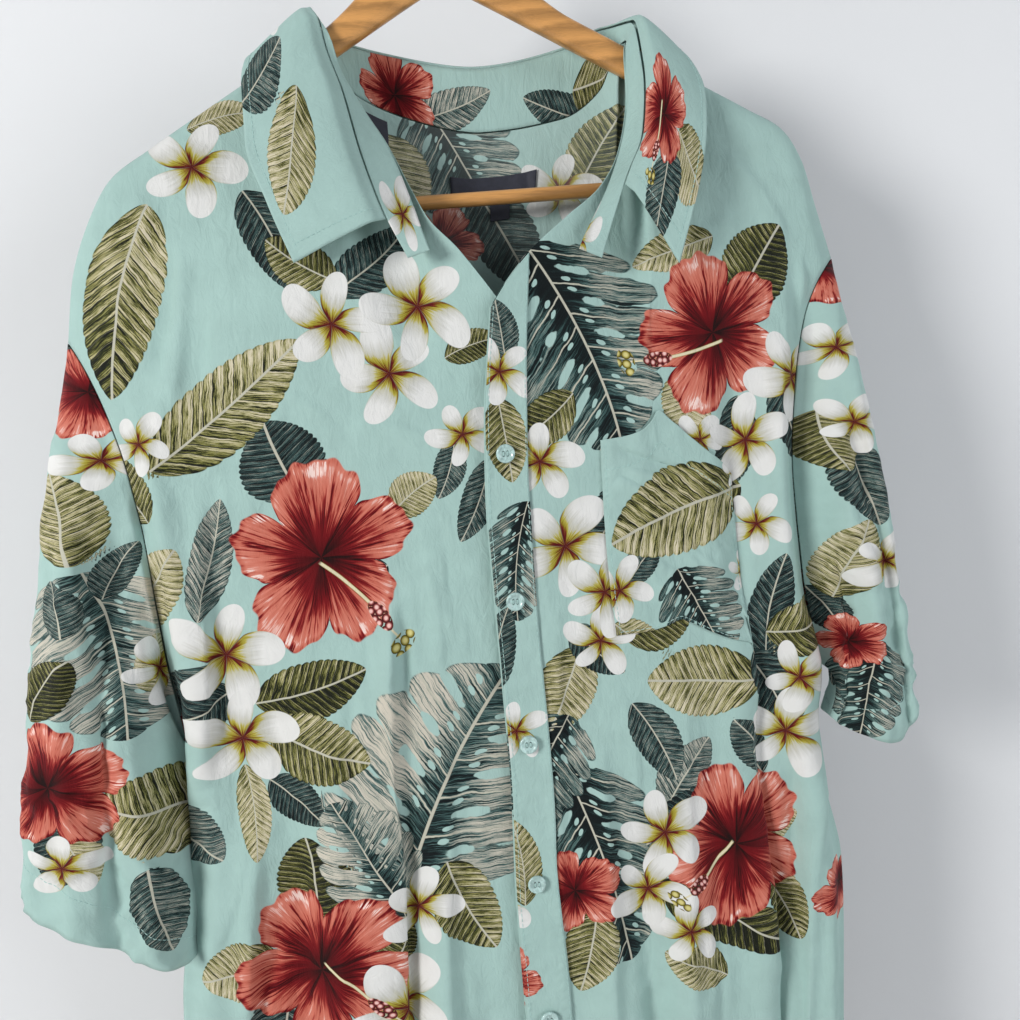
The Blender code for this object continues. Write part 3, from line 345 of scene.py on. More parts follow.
RIGHT_SLEEVE_PRINT = motifs(
    under_split=((-242, -500, -84, 52, 35, 0.92, 0.85),),
    under_olive=((-223, -614, 65, 18, 11, 0.05, 0.2),),
    under_teal=((-275, -611, -105, 25, 12, 0.1, 0.3), (-345, -640, -20, 26, 13, 0.3, 0.6)),
    leaf_olive=((-234, -599, 164, 28, 24, 0.3, 0.85), (-256, -417, 97, 28, 15, 0.5, 0.85),
                (-270, -619, -79, 18, 9, 0.7, 0.9), (-271, -516, 58, 21, 12, 0, 0.15),
                (-222, -510, 84, 19, 10, 0.85, 1), (-320, -524, 70, 27, 14, 0.5, 0.9),
                (-300, -424, 110, 24, 12, 0.4, 0.8)),
    leaf_teal=((-239, -659, -84, 28, 11, 0.3, 0.6), (-255, -300, 68, 23, 13, 0.2, 0.4),
               (-237, -450, 65, 18, 8, 0.2, 0.5), (-260, -469, 95, 17, 8, 0.3, 0.5),
               (-350, -528, -60, 24, 12, 0.2, 0.5)),
    bloom=((-276, -574, 111, 38, 0.3), (-245, -343, 8, 28, 0.6), (-346, -592, 60, 33, 0.3)),
    star=((-219, -514, -19, 23), (-242, -384, 56, 21), (-276, -622, 26, 21), (-318, -472, 20, 21),
          (-374, -640, 50, 20), (-292, -376, 0, 18)))
LEFT_SLEEVE_PRINT = motifs(
    under_split=((230, -578, -99, 33, 17, 0.2, 0.5),),
    under_teal=((240, -445, -81, 28, 11, 0.2, 0.5), (217, -527, -74, 19, 9, 0.1, 0.3)),
    leaf_olive=((229, -493, 70, 27, 12, 0.6, 0.9), (230, -415, -83, 21, 10, 0.3, 0.6),
                (277, -457, 75, 24, 12, 0.5, 0.9)),
    leaf_teal=((266, -352, -80, 24, 11, 0.2, 0.5), (296, -563, -60, 19, 10, 0.2, 0.5)),
    bloom=((235, -303, 91, 25, 0.4), (225, -547, 52, 18, 0.1), (289, -515, 40, 22, 0.4)),
    star=((245, -496, 6, 21), (236, -356, -8, 13, 20), (272, -408, 20, 18)),
    star_top=((239, -404, 4, 14, 21),))
LEAF_PRINT = motifs(
    under_olive=((105, -69, 15, 19, 17, 0.2, 0.5), (208, -62, -65, 23, 14, 0.7, 0.9)),
    leaf_olive=((-196, -50, -143, 31, 15, 0.6, 0.95),),
    leaf_teal=((-153, -58, 68, 23, 16, 0.25, 0.5), (228, -40, -18, 19, 17, 0.2, 0.45)),
    bloom=((192, -22, -165, 31, 0.25),),
    star=((-74, -51, 96, 27),),
    star_top=((-115, -34, 76, 27),),
    stamen=((207, -21, -5, 23, 8),))
STAND_PRINT = motifs(
    under_teal=((62, 3, 162, 32, 9, 0.2, 0.4),),
    leaf_olive=((101, 4, -14, 28, 14, 0.3, 0.6),),
    leaf_teal=((-18, 9, 23, 28, 9, 0.6, 0.8),),
    bloom=((-51, 10, 53, 27, 0.2),),
    star=((259, -5, 124, 27), (-187, 67, -84, 27), (-239, 14, -99, 24)))
BACK_PRINT = motifs(
    under_split=((3, -214, -65, 51, 33, 0.3, 0.6),),
    under_teal=((4, -376, -30, 38, 17, 0.1, 0.4),),
    leaf_olive=((-38, -220, -75, 32, 17, 0.5, 0.9), (94, -211, 55, 31, 17, 0.2, 0.5),
                (-75, -347, 40, 42, 18, 0.4, 0.9), (36, -424, 20, 40, 19, 0.2, 0.7)),
    leaf_teal=((27, -263, -65, 39, 20, 0.15, 0.4), (118, -330, 60, 30, 14, 0.3, 0.6)),
    bloom=((-16, -263, 16, 28, 0.3), (-68, -213, 74, 25, 0.6), (72, -367, 20, 34, 0.4)),
    star=((66, -234, 14, 29), (18, -322, 15, 26), (-105, -312, 10, 28)),
    star_top=((47, -298, 54, 26),))
PLACKET_PRINT = motifs(
    under_split=((10, -469, -100, 37, 19, 0.3, 0.6),),
    leaf_olive=((-7, -658, 94, 29, 11, 0.5, 0.9), (8, -395, -85, 26, 12, 0.3, 0.7)),
    leaf_teal=((-8, -522, 75, 27, 11, 0.15, 0.4), (11, -329, 95, 18, 10, 0.3, 0.5)),
    bloom=((-27, -737, 12, 27, 0.15),),
    star=((8, -354, -165, 24), (-24, -688, -9, 22)),
    star_top=((-2, -574, 34, 22),))
POCKET_PRINT = motifs(
    under_split=((122, -514, -64, 32, 23, 0.2, 0.6),),
    under_teal=((85, -477, 54, 19, 9, 0.2, 0.4),),
    leaf_olive=((111, -450, -163, 46, 25, 0.45, 0.8), (81, -527, -36, 20, 11, 0.5, 0.8)),
    star=((70, -494, 3, 24), (156, -492, 34, 16)),
    star_top=((154, -428, 31, 13),))


def smooth(t):
    """Eased step: 0 below 0, 1 above 1, level at both ends."""
    t = np.clip(t, 0.0, 1.0)
    return t * t * (3.0 - 2.0 * t)


def curve(rows, t):
    """Smooth curve through table rows (first column the parameter), in metres.
    Its slope is level wherever the rows turn back, so it never swings past them."""
    rows = np.asarray(rows, float)
    key, val = rows[:, 0], rows[:, 1:] * MM
    step = np.diff(val, axis=0) / np.diff(key)[:, None]
    both = step[:-1] * step[1:]
    mean = 2 * both / np.where(both > 0, step[:-1] + step[1:], 1.0)
    slope = np.concatenate([step[:1], np.where(both > 0, mean, 0.0), step[-1:]])
    t = np.clip(np.asarray(t, float), key[0], key[-1])
    i = np.clip(np.searchsorted(key, t, side="right") - 1, 0, len(key) - 2)
    h = (key[i + 1] - key[i])[..., None]
    u = (t - key[i])[..., None] / h
    return (val[i] * (1 + 2 * u) * (1 - u) ** 2 + val[i + 1] * u * u * (3 - 2 * u)
            + slope[i] * h * u * (1 - u) ** 2 - slope[i + 1] * h * u * u * (1 - u))


def stack(x, y, z):
    return np.stack([x, y, z], axis=-1)


def unit(vectors):
    """The same vectors at length 1."""
    return vectors / np.maximum(np.linalg.norm(vectors, axis=-1, keepdims=True), 1e-12)


def front_place(side, a):
    """Place across a front of a place round the neck."""
    end, high = STAND_END[side], SHOULDER[side][0][0]
    return end + (1.0 - a * side) / NECK_END * (high - end)


def back_place(a):
    """Place across the back of a place round the neck."""
    return a / NECK_END * np.where(np.asarray(a) < 0, SHOULDER[-1][0][0], SHOULDER[1][0][0])


def on_ridge(side, s):
    """1 along the shoulder, 0 along the neckline and right at the shoulder point."""
    return smooth((s - SHOULDER[side][0][0]) / RIDGE_RUN + 1) * (1 - s ** 16)


def top_edge(side, s):
    """Upper edge of a front: the open neck, the neckline, then the shoulder seam."""
    rows = list(OPENING[side])
    for a, x, y, z in sorted((row[:4] for row in NECK), key=lambda row: -row[0] * side):
        if a * side > NECK_END:
            rows.append((front_place(side, a), x, y, z))
    rows += [(a, x, -RIDGE_GAP / MM, z) for a, x, z in SHOULDER[side]]
    return curve(rows, s)


def folds(table, s, v, width):
    """Sum of soft folds: depth along y and sideways lean, both in metres."""
    depth, lean = np.zeros_like(s), np.zeros_like(s)
    for s_top, s_hem, start, end, half, deep, push in table:
        centre = s_top + (s_hem - s_top) * v
        u = (s - centre) * width / (half * MM)
        grow = smooth((v - start) / FOLD_RUN) * (1 - smooth((v - end + FOLD_RUN) / FOLD_RUN))
        grow = grow * (1 + FOLD_GROWTH * smooth((v - FOLD_GROWS) / (1 - FOLD_GROWS)))
        depth += deep * MM * grow * np.exp(-u * u)
        lean += push * MM * grow * np.exp(-u * u)
    return depth, lean


def front(side, s, v):
    """Point of a front: a patch between its four edges, eased down from the
    shoulder, turning back late towards the side, with folds added."""
    top, t0, t1 = top_edge(side, s), top_edge(side, 0.0 * s), top_edge(side, 0.0 * s + 1)
    edge, flank = curve(EDGE[side], v), curve(SIDE[side], v)
    flank = stack(flank[..., 0], flank[..., 2], flank[..., 1])
    k = s[..., None]
    late = (np.abs(s) ** OVERLAP_POWER)[..., None]
    fade = ((1 - v) ** PATCH_FADE)[..., None]
    level = smooth(v / LEVEL_RUN)
    near = level + (1 - level) * s ** FLANK_POWER
    bend = (flank - t1) * near[..., None]
    bend[..., 2] = (flank - t1)[..., 2]
    out = (1 - k) * edge + k * (t1 + bend) + fade * (top - (1 - k) * t0 - k * t1)
    below = np.clip(top[..., 2] - out[..., 2], 0, None)
    hold = 1 - smooth(below / EASE_DEPTH)
    y = ((1 - late) * edge + late * flank)[..., 1]
    y += hold * (top - (1 - late) * t0 - late * t1)[..., 1]
    y -= hold * on_ridge(side, s) * TURN_DEPTH * (1 - np.exp(-below / TURN_RADIUS))
    depth, lean = folds(FRONT_FOLDS[side], s, v, PANEL_WIDTH)
    rim = smooth(s / 0.16) * smooth((1 - s) / 0.05)
    return stack(out[..., 0] + side * lean * rim, y - depth * rim, out[..., 2])


def back_top(s):
    """Upper edge of the back, from shoulder point to shoulder point."""
    rows = [(float(back_place(row[0])), *row[1:4]) for row in NECK if abs(row[0]) < NECK_END]
    left = [(-a, x, RIDGE_GAP / MM, z) for a, x, z in SHOULDER[-1]][::-1]
    right = [(a, x, RIDGE_GAP / MM, z) for a, x, z in SHOULDER[1]]
    return curve(left + rows + right, s)


def back(s, v):
    """Point of the back panel, built the same way across its whole width."""
    one = 0.0 * s + 1
    top, t0, t1 = back_top(s), back_top(-one), back_top(one)
    e0, e1 = curve(SIDE[-1], v), curve(SIDE[1], v)
    e0, e1 = (stack(e[..., 0], e[..., 3], e[..., 1]) for e in (e0, e1))
    k = ((s + 1) / 2)[..., None]
    fade = ((1 - v) ** PATCH_FADE)[..., None]
    out = (1 - k) * e0 + k * e1 + fade * (top - (1 - k) * t0 - k * t1)
    below = np.clip(top[..., 2] - out[..., 2], 0, None)
    hold = 1 - smooth(below / EASE_DEPTH)
    late = np.abs(s) ** (OVERLAP_POWER + 1)
    middle = curve(BACK_DEPTH, v)[..., 0]
    rim_y = np.where(s < 0, e0[..., 1], e1[..., 1])
    y = (1 - late) * middle + late * rim_y
    y += hold * (top[..., 1] - (1 - late) * BACK_DEPTH[0][1] * MM - late * RIDGE_GAP)
    ridge = np.where(s < 0, on_ridge(-1, -s), on_ridge(1, s))
    y += hold * ridge * TURN_DEPTH * (1 - np.exp(-below / TURN_RADIUS))
    depth = folds(BACK_FOLDS, s, v, PANEL_WIDTH)[0]
    rim = smooth((1 - np.abs(s)) / 0.12)
    return stack(out[..., 0], y + depth * rim, out[..., 2])


def armhole(side, t):
    """Armhole loop: down the front edge to the underarm, then up the back edge."""
    v = UNDERARM * (1 - np.abs(2 * t - 1))
    one = 0.0 * t + 1
    return np.where((t <= 0.5)[..., None], front(side, one, v), back(side * one, v))


def sleeve(side, t, r):
    """Point of a sleeve: leaves the armhole outwards, then falls to the cuff."""
    hole, cuff = armhole(side, t), curve(CUFF[side], t)
    face = -np.sin(2 * np.pi * t)
    aim = hole * (1 - CUFF_PULL) + cuff * CUFF_PULL
    low = smooth(1 - 2.5 * np.abs(2 * t - 1))
    out_now = np.sqrt(np.abs(face))
    aim[..., 0] += side * (CAP_REACH * out_now + UNDERARM_REACH * low)
    aim[..., 2] += CAP_LIFT * out_now
    lead = unit(stack(side * (out_now + LEAD_OUT), 0 * t, out_now - 1))
    k = r[..., None]
    start = hole + lead * SEAM_GAP
    start[..., 0] += side * UNDERARM_STEP * low
    out = start * (1 - k) ** 2 + aim * 2 * k * (1 - k) + cuff * k * k
    swell = SLEEVE_SWELL * np.sin(np.pi * np.clip(r, 0, 1)) * face
    for t_top, t_low, start, end, half, deep in SLEEVE_FOLDS[side]:
        u = (t - (t_top + (t_low - t_top) * r)) / half
        grow = smooth((r - start) / 0.25) * (1 - smooth((r - end + 0.25) / 0.25))
        swell += deep * MM * grow * np.exp(-u * u) * np.sign(face)
    out[..., 1] += swell
    return out


def seam_line(a):
    """The neckline, taken from the panels' own upper edges."""
    out = back_top(back_place(np.clip(a, -NECK_END, NECK_END)))
    for side in (-1, 1):
        beyond = a * side > NECK_END
        near = top_edge(side, front_place(side, np.where(beyond, a, NECK_END * side)))
        out = np.where(beyond[..., None], near, out)
    return out


def stand(a, b):
    """Point of the collar stand: from its foot on the neckline (b=0) to the roll (b=1)."""
    row = curve(NECK, a)
    roll, drop = row[..., 3:6], row[..., 6]
    foot = seam_line(a)
    foot[..., 2] -= drop
    out = np.abs(a)
    foot[..., 1] -= FOOT_LEAN * drop + FOOT_STEP * smooth((out - NECK_END) / 0.04)
    foot[..., 1] += REAR_STEP * smooth((NECK_END - out) / 0.04) * smooth((out - 0.2) / 0.1)
    rise = unit(roll - foot)
    crest = np.exp(-((out - NECK_END) / 0.05) ** 2)[..., None]
    foot = foot + rise * (SEAM_GAP + (0.4 + 0.5 * crest) * MM)
    b = b[..., None]
    return foot * (1 - b) + (roll - rise * SEAM_GAP) * b


def leaf(a, b):
    """Point of the collar leaf: from the roll (b=0) over its arch to the outer edge (b=1)."""
    roll = curve(NECK, a)[..., 3:6]
    row = curve(LEAF, a)
    edge, arch = row[..., 0:3], row[..., 3:5]
    away = unit((edge - roll) * LEVEL)
    roll = roll + LEAF_LIFT * (0.7 * away + np.array([0, 0, 0.7]))
    b = b[..., None]
    out = roll * (1 - b) + edge * b
    hump = (np.sqrt(b) - b) * 4.0 * (0.3 + 0.7 * smooth(b / 0.15))
    return out + np.concatenate([0 * b, arch[..., :1] * hump, arch[..., 1:] * hump], axis=-1)


# ------------------------------------------------------------------ finer relief
def value_noise(x, y, seed):
    """Soft lattice noise from -1 to 1: a hashed value at each whole-number corner, eased
    between the four corners round a point."""
    xi, yi = np.floor(x), np.floor(y)
    u, v = smooth(x - xi), smooth(y - yi)

    def corner(i, j):
        h = np.sin((xi + i) * 127.1 + (yi + j) * 311.7 + seed * 74.7) * 43758.5453
        return (h - np.floor(h)) * 2 - 1
    low = corner(0, 0) * (1 - u) + corner(1, 0) * u
    high = corner(0, 1) * (1 - u) + corner(1, 1) * u
    return low * (1 - v) + high * v


def crumple(x, z, seed):
    """Small uneven creasing in mm: folded noise at three sizes, taller than it is wide, with a
    slow noise that leaves some places smooth."""
    warp = 6 * value_noise(x / 37, z / 45, seed + 3)
    big = 1 - 2 * np.abs(value_noise((x + warp) / 17, (z - warp) / 46, seed))
    mid = 1 - 2 * np.abs(value_noise((x - warp) / 8.5 + 0.3 * z / 30, z / 19, seed + 5))
    small = value_noise(x / 4.2, z / 8.5, seed + 9)
    where = 0.45 + 0.55 * value_noise(x / 75, z / 95, seed + 11)
    return (0.55 * big + 0.28 * mid * (0.4 + where) + 0.07 * small) * (0.35 + np.clip(where, 0, 1))


def wrinkles(x, z, seed):
    """Sharp short creases in mm: thin crests where two bent noises cross zero, each strongest
    in its own places, as in cloth that was packed and not pressed."""
    bent = x + 9 * value_noise(x / 31, z / 27, seed + 2)
    slant = 1 - np.abs(value_noise((bent + 0.7 * z) / 21, (z - 0.5 * bent) / 15, seed)) * 3.2
    other = 1 - np.abs(value_noise((bent - 0.9 * z) / 17, (z + 0.4 * bent) / 25, seed + 7)) * 3.2
    return 0.8 * np.clip(slant, -0.6, 1) + 0.6 * np.clip(other, -0.6, 1)


def creases(x, z, rows):
    """Soft folds listed in mm: each runs from one point to another with a bow to one side;
    its depth falls off with the distance from that line, fast on one side and slowly on the
    other as where cloth hangs over a fold, and eases in and out along it."""
    out = np.zeros_like(x)
    for x0, z0, x1, z1, half, deep, bow in rows:
        run = np.hypot(x1 - x0, z1 - z0)
        ux, uz = (x1 - x0) / run, (z1 - z0) / run
        along = ((x - x0) * ux + (z - z0) * uz) / run
        off = (x - x0) * -uz + (z - z0) * ux - bow * 4 * along * (1 - along)
        ease = smooth(along / 0.22) * smooth((1 - along) / 0.22)
        out += deep * ease * np.exp(-(off / (half * np.where(off > 0, 0.75, 2.3))) ** 2)
    return out


def flat(points):
    """Place on the flat cloth in mm: a panel's own x and z, as its folds lean only a little
    sideways."""
    return points[..., 0] / MM, points[..., 2] / MM


def flat_sleeve(side, t, r):
    """The sleeve unrolled about its outer edge: in front by the share of the way round, behind
    by the distance from the outer edge."""
    turn = np.where(t > 0.5, t - 1, t)
    outer, inner = sleeve(side, 0 * t, r), sleeve(side, 0 * t + 0.5, r)
    here = sleeve(side, t % 1.0, r)
    across = outer[..., 0] + (inner[..., 0] - outer[..., 0]) * 2 * turn
    across = np.where(turn < 0, 2 * outer[..., 0] - here[..., 0], across)
    return across / MM, here[..., 2] / MM


def across(points):
    """Vectors square to a grid of points."""
    return np.cross(np.gradient(points, axis=1), np.gradient(points, axis=0))


def outward(points, away):
    """Unit normals of a grid of points, all turned the way that away points for most of
    them: one vector for all, or one for each."""
    n = unit(across(points))
    return n * np.sign(np.sum(n * away))


def raised(points, height, away=TO_FRONT):
    """Points moved along their normals by a height in mm."""
    return points + outward(points, away) * np.asarray(height * MM)[..., None]


SIDE_EASE = {-1: 8.5, 1: 0.0}       # how far each side seam swings out, in mm
SLEEVE_EASE = 1.65                  # how much more the sleeve's inner edge moves to it


def ease_down(v):
    """How far the side seam swings out below the underarm: 0 at the top, most near v = 0.7."""
    return smooth((v - 0.48) / 0.09) * (1 - smooth((v - 0.74) / 0.2))


def front_skin(side, s, v, calm=1.0):
    """A front with its creases: the base surface moved along its normal by the relief."""
    base = front(side, s, v)
    x, z = flat(base)
    base[..., 0] += side * SIDE_EASE[side] * MM * s ** 8 * ease_down(v)
    hold = smooth(v / 0.03) * smooth((1 - s) / 0.03) * (0.35 + 0.65 * smooth((s - 0.10) / 0.08))
    rise = crumple(x, z, 3 + side) * FRONT_CRUMPLE * calm
    rise = rise + creases(x, z, FRONT_CREASES[side]) * FRONT_CREASE
    where = np.clip(value_noise(x / 70, z / 80, 83 + side) + 0.25, 0, 1)
    rise += wrinkles(x, z, 81 + side) * calm * (FRONT_WRINKLE + FRONT_MORE_WRINKLE * where)
    return raised(base, rise * hold)


def placket_skin(s, v):
    """The placket over its front, drawn into short puckers along its two stitch rows."""
    points = front_skin(1, s, v, calm=0.6)
    z = points[..., 2] / MM
    rows = sum(np.exp(-((s - at) / 0.016) ** 2) for at in (PLACKET[0] + 0.012, PLACKET[1] - 0.012))
    wave = np.sin(z * 1.02 + 2.4 * value_noise(s * 60, z / 9, 51)) * (
        0.5 + 0.5 * value_noise(s * 14, z / 23, 52))
    ripple = 0.22 * value_noise(s * 30, z / 4.5, 53)
    return raised(points, PLACKET_LIFT + 0.30 * rows * wave
                  + ripple * smooth((v - 0.02) / 0.05))


def pocket_skin(k, q):
    """The pocket over its front, from shares across (k) and down (q): it stands off the front
    a little and is drawn in along its sewn edges."""
    (s0, top0, low0), (s1, top1, low1) = POCKET
    v = (1 - q) * (top0 + (top1 - top0) * k) + q * (low0 + (low1 - low0) * k)
    s = s0 + (s1 - s0) * k
    edge = smooth(np.minimum(np.minimum(k, 1 - k) / 0.04, (1 - q) * 8))
    near = np.exp(-(np.minimum(np.minimum(k, 1 - k), 1 - q) / 0.05) ** 2)
    wave = 0.16 * near * np.sin(q * 110 + k * 70 + 3 * value_noise(k * 9, q * 9, 61))
    points = front_skin(1, s, v)
    soft = wrinkles(k * 110, q * 130, 63) * 0.55 * edge * smooth(q / 0.5)
    return raised(points, POCKET_LIFT + POCKET_BULGE * edge + wave + soft), s, v


def back_skin(s, v):
    """The back with its creases."""
    base = back(s, v)
    x, z = flat(base)
    ease = np.where(s < 0, -SIDE_EASE[-1], SIDE_EASE[1]) * MM
    base[..., 0] += ease * np.abs(s) ** 8 * ease_down(v)
    hold = smooth(v / 0.04) * smooth((1 - np.abs(s)) / 0.03)
    rise = crumple(x, z, 17) + wrinkles(x, z, 91) * BACK_WRINKLE
    rise = rise + creases(x, z, BACK_CREASES) * BACK_CREASE
    return raised(base, rise * hold, TO_BACK)


def from_middle(points):
    """Vectors from the middle of each row of a grid to its points."""
    return points - points.mean(axis=1, keepdims=True)


def level_out(points):
    """Level vectors from the middle of a grid to its points."""
    return (points - points.mean(axis=(0, 1))) * LEVEL


def sleeve_skin(side, t, r):
    """A sleeve with its creases, which grow towards the cuff. Its inner edge is moved to the
    body as the side seam is moved to the sleeve."""
    base = sleeve(side, t % 1.0, r)
    near = np.exp(-((t % 1.0 - 0.5) / 0.14) ** 2) * smooth((r - 0.01) / 0.24)
    base[..., 0] -= side * SIDE_EASE[side] * SLEEVE_EASE * MM * near * (
        1 - 0.5 * smooth((r - 0.8) / 0.2))
    x, z = flat_sleeve(side, t, r)
    rise = crumple(x, z, 29 + side) * (1.1 + 1.6 * smooth((r - 0.45) / 0.4))
    rise = rise + creases(x, z, SLEEVE_CREASES[side]) * SLEEVE_CREASE
    rise += wrinkles(x, z, 71 + side) * (0.25 + 1.15 * smooth((r - 0.5) / 0.35))
    rise = rise * smooth(r / 0.06) * smooth(np.abs(np.sin(2 * np.pi * t)) / 0.25)
    return raised(base, rise, from_middle(base))


# ------------------------------------------------------------------ printed motifs
def reach(kind, x, y, long, wide):
    """Signed distance in mm into a motif's outline, used to choose the motif that covers a
    point: a pointed oval for a leaf, a circle for a flower, a box for a stamen."""
    if kind in ("olive", "teal", "split"):
        power, full = (0.62, 1.20) if kind == "split" else (0.72, 1.14)
        rim = np.clip(1 - np.abs(x) ** 2.2, 0, 1) ** power * (full - x * 0.16)
        return (rim - np.abs(y)) * wide - np.clip(np.abs(x) - 1, 0, None) * long
    if kind == "stamen":
        return np.minimum((1.05 - np.abs(x)) * long, (1.1 - np.abs(y)) * wide)
    return (1.08 - np.hypot(x, y)) * long


GROUP = {"olive": 0.0, "teal": 2.0, "split": 4.0, "bloom": 0.0, "star": 0.0, "stamen": 0.0}
LAYERS = ("under", "leaf", "bloom", "star_low", "star", "star_top", "stamen")


def lay_print(x, z, rows):
    """For each layer, four numbers a vertex: the place inside the motif that covers it best
    (x along it, y across it, from -1 to 1), its reach in mm, and its group plus lightness."""
    fields = {}
    for layer, kind, cx, cz, turn, long, wide, light, tip in rows:
        c, s = np.cos(np.radians(turn)), np.sin(np.radians(turn))
        dx, dz = x - cx, z - cz
        u, w = (c * dx + s * dz) / long, (-s * dx + c * dz) / wide
        inside = reach(kind, u, w, long, wide)
        if kind == "star":
            bend = 0.30 * np.hypot(u, w)
            u, w = u * np.cos(bend) - w * np.sin(bend), u * np.sin(bend) + w * np.cos(bend)
        if kind in ("olive", "teal", "split"):
            w = w + 0.18 * (u * u - 0.5) * np.sin(cx * 0.7 + cz * 0.3) * long / wide * 0.6
        tone = GROUP[kind] + light + (tip - light) * (0.5 + 0.5 * np.clip(u, -1, 1))
        if kind == "star":
            tone = tone + 0.5 + 0.5 * np.sin(cx * 12.9 + cz * 7.3)
        new = np.stack([u, w, np.clip(inside, -40, 40), tone], -1)
        if layer in fields:
            old = fields[layer]
            new = np.where((new[..., 2] > old[..., 2])[..., None], new, old)
        fields[layer] = new
    return fields


# ------------------------------------------------------------------------ meshes
def collection():
    """The collection of this scene's own pieces, made when first asked for."""
    found = bpy.data.collections.get("shirt_dressed")
    if found is None:
        found = bpy.data.collections.new("shirt_dressed")
        bpy.context.scene.collection.children.link(found)
    return found


def mesh_object(name, points, faces):
    """Smooth-shaded mesh of (n, 3) points and an array or list of faces."""
    mesh = bpy.data.meshes.new(name)
    mesh.from_pydata(np.asarray(points).tolist(), [],
                     faces.tolist() if isinstance(faces, np.ndarray) else faces)
    mesh.polygons.foreach_set("use_smooth", np.ones(len(mesh.polygons), bool))
    obj = bpy.data.objects.new(name, mesh)
    collection().objects.link(obj)
    return obj


def grid_faces(rows, cols, closed=False):
    """Four-cornered faces between the points of a grid, whose rows may close into rings."""
    index = np.arange(rows * cols).reshape(rows, cols)
    left, right = (index, np.roll(index, -1, 1)) if closed else (index[:, :-1], index[:, 1:])
    return np.stack([left[:-1], right[:-1], right[1:], left[1:]], -1).reshape(-1, 4)


def capped(rings, around):
    """Faces of a row of rings, with a face over each end."""
    last = (rings - 1) * around
    return grid_faces(rings, around, closed=True).tolist() + [
        list(range(around)), list(range(last + around - 1, last - 1, -1))]


def joined(parts):
    """Points and faces of several meshes as one."""
    points, faces, count = [], [], 0
    for some, their_faces in parts:
        faces += [[k + count for k in face] for face in their_faces]
        points.append(some)
        count += len(some)
    return np.concatenate(points), faces


def cloth_piece(name, node, points, outside, place, prints, wall, materials, slot):
    """A sheet of cloth from a grid of points: faces turned to the outside (one vector for all,
    or one for each point), print and flat-cloth attributes, and thickness from Solidify."""
    faces = grid_faces(*points.shape[:2])
    if np.sum(across(points) * outside) < 0:
        faces = faces[:, ::-1]
    obj = mesh_object(name, points.reshape(-1, 3), faces)
    for layer, values in lay_print(*place, prints).items():
        data = obj.data.attributes.new("print_" + layer, "FLOAT_COLOR", "POINT").data
        data.foreach_set("color", values.astype(np.float32).ravel())
    data = obj.data.attributes.new("cloth", "FLOAT_VECTOR", "POINT").data
    data.foreach_set("vector", stack(*place, 0 * place[0]).astype(np.float32).ravel())
    thick = obj.modifiers.new("thickness", "SOLIDIFY")
    thick.thickness, thick.offset = wall, 0.0
    thick.material_offset = len(materials) - 1
    return own(obj, materials, slot, node)


def own(obj, materials, slot, *nodes):
    """A new rigid piece: its materials, body and the solid it stands for; its slot is not used."""
    for item in materials:
        obj.data.materials.append(item)
    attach(obj, "root")
    if nodes:
        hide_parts(*nodes)
    return obj


def grid(us, vs):
    """Two arrays that run over every pair of the given values, a row per v."""
    v, u = np.meshgrid(vs, us, indexing="ij")
    return u, v


def stretches(*parts):
    """Values from several stretches in one run: (start, end, count) each."""
    out = [np.linspace(a, b, n, endpoint=False) for a, b, n in parts]
    return np.concatenate(out + [[parts[-1][1]]])


def tube(points, radius, around, flare=None):
    """Points and faces of a round tube carried along a path, with closed ends: each ring
    stands square to the path, its radius scaled by flare."""
    points = np.asarray(points, float)
    tangent = unit(np.gradient(points, axis=0))
    up = np.where(np.abs(tangent[:, 1:2]) > 0.9, [[1.0, 0, 0]], [[0, 1.0, 0]])
    side = unit(np.cross(tangent, up))
    other = np.cross(tangent, side)
    scale = np.ones(len(points)) if flare is None else flare
    turn = np.linspace(0, 2 * np.pi, around, endpoint=False)
    ring = (side[:, None] * np.cos(turn)[None, :, None] + other[:, None]
            * np.sin(turn)[None, :, None]) * radius * scale[:, None, None]
    return (points[:, None] + ring).reshape(-1, 3), capped(len(points), around)


# --------------------------------------------------------------------- materials
class Value:
    """A number socket that can be used in ordinary arithmetic."""

    def __init__(self, ink, socket):
        self.ink, self.socket = ink, socket

    def math(self, operation, *others, clamp=False):
        node = self.ink.tree.nodes.new("ShaderNodeMath")
        node.operation, node.use_clamp = operation, clamp
        for slot, item in zip(node.inputs, (self,) + others):
            self.ink.feed(slot, item)
        return Value(self.ink, node.outputs[0])

    def __add__(self, other): return self.math("ADD", other)
    __radd__ = __add__
    def __mul__(self, other): return self.math("MULTIPLY", other)
    __rmul__ = __mul__
    def __sub__(self, other): return self.math("SUBTRACT", other)
    def __rsub__(self, other): return (self * -1) + other
    def __truediv__(self, other): return self.math("DIVIDE", other)
    def __pow__(self, other): return self.math("POWER", other)
    def __abs__(self): return self.math("ABSOLUTE")
    def sin(self): return self.math("SINE")
    def fract(self): return self.math("FRACT")
    def least(self, other): return self.math("MINIMUM", other)
    def most(self, other): return self.math("MAXIMUM", other)

    def ease(self, low, high):
        """0 at low, 1 at high, eased between; low may be the larger."""
        return Value(self.ink, self.ink.node(
            "ShaderNodeMapRange", {"interpolation_type": "SMOOTHSTEP"}, {
                "Value": self, "From Min": low, "From Max": high}).outputs[0])


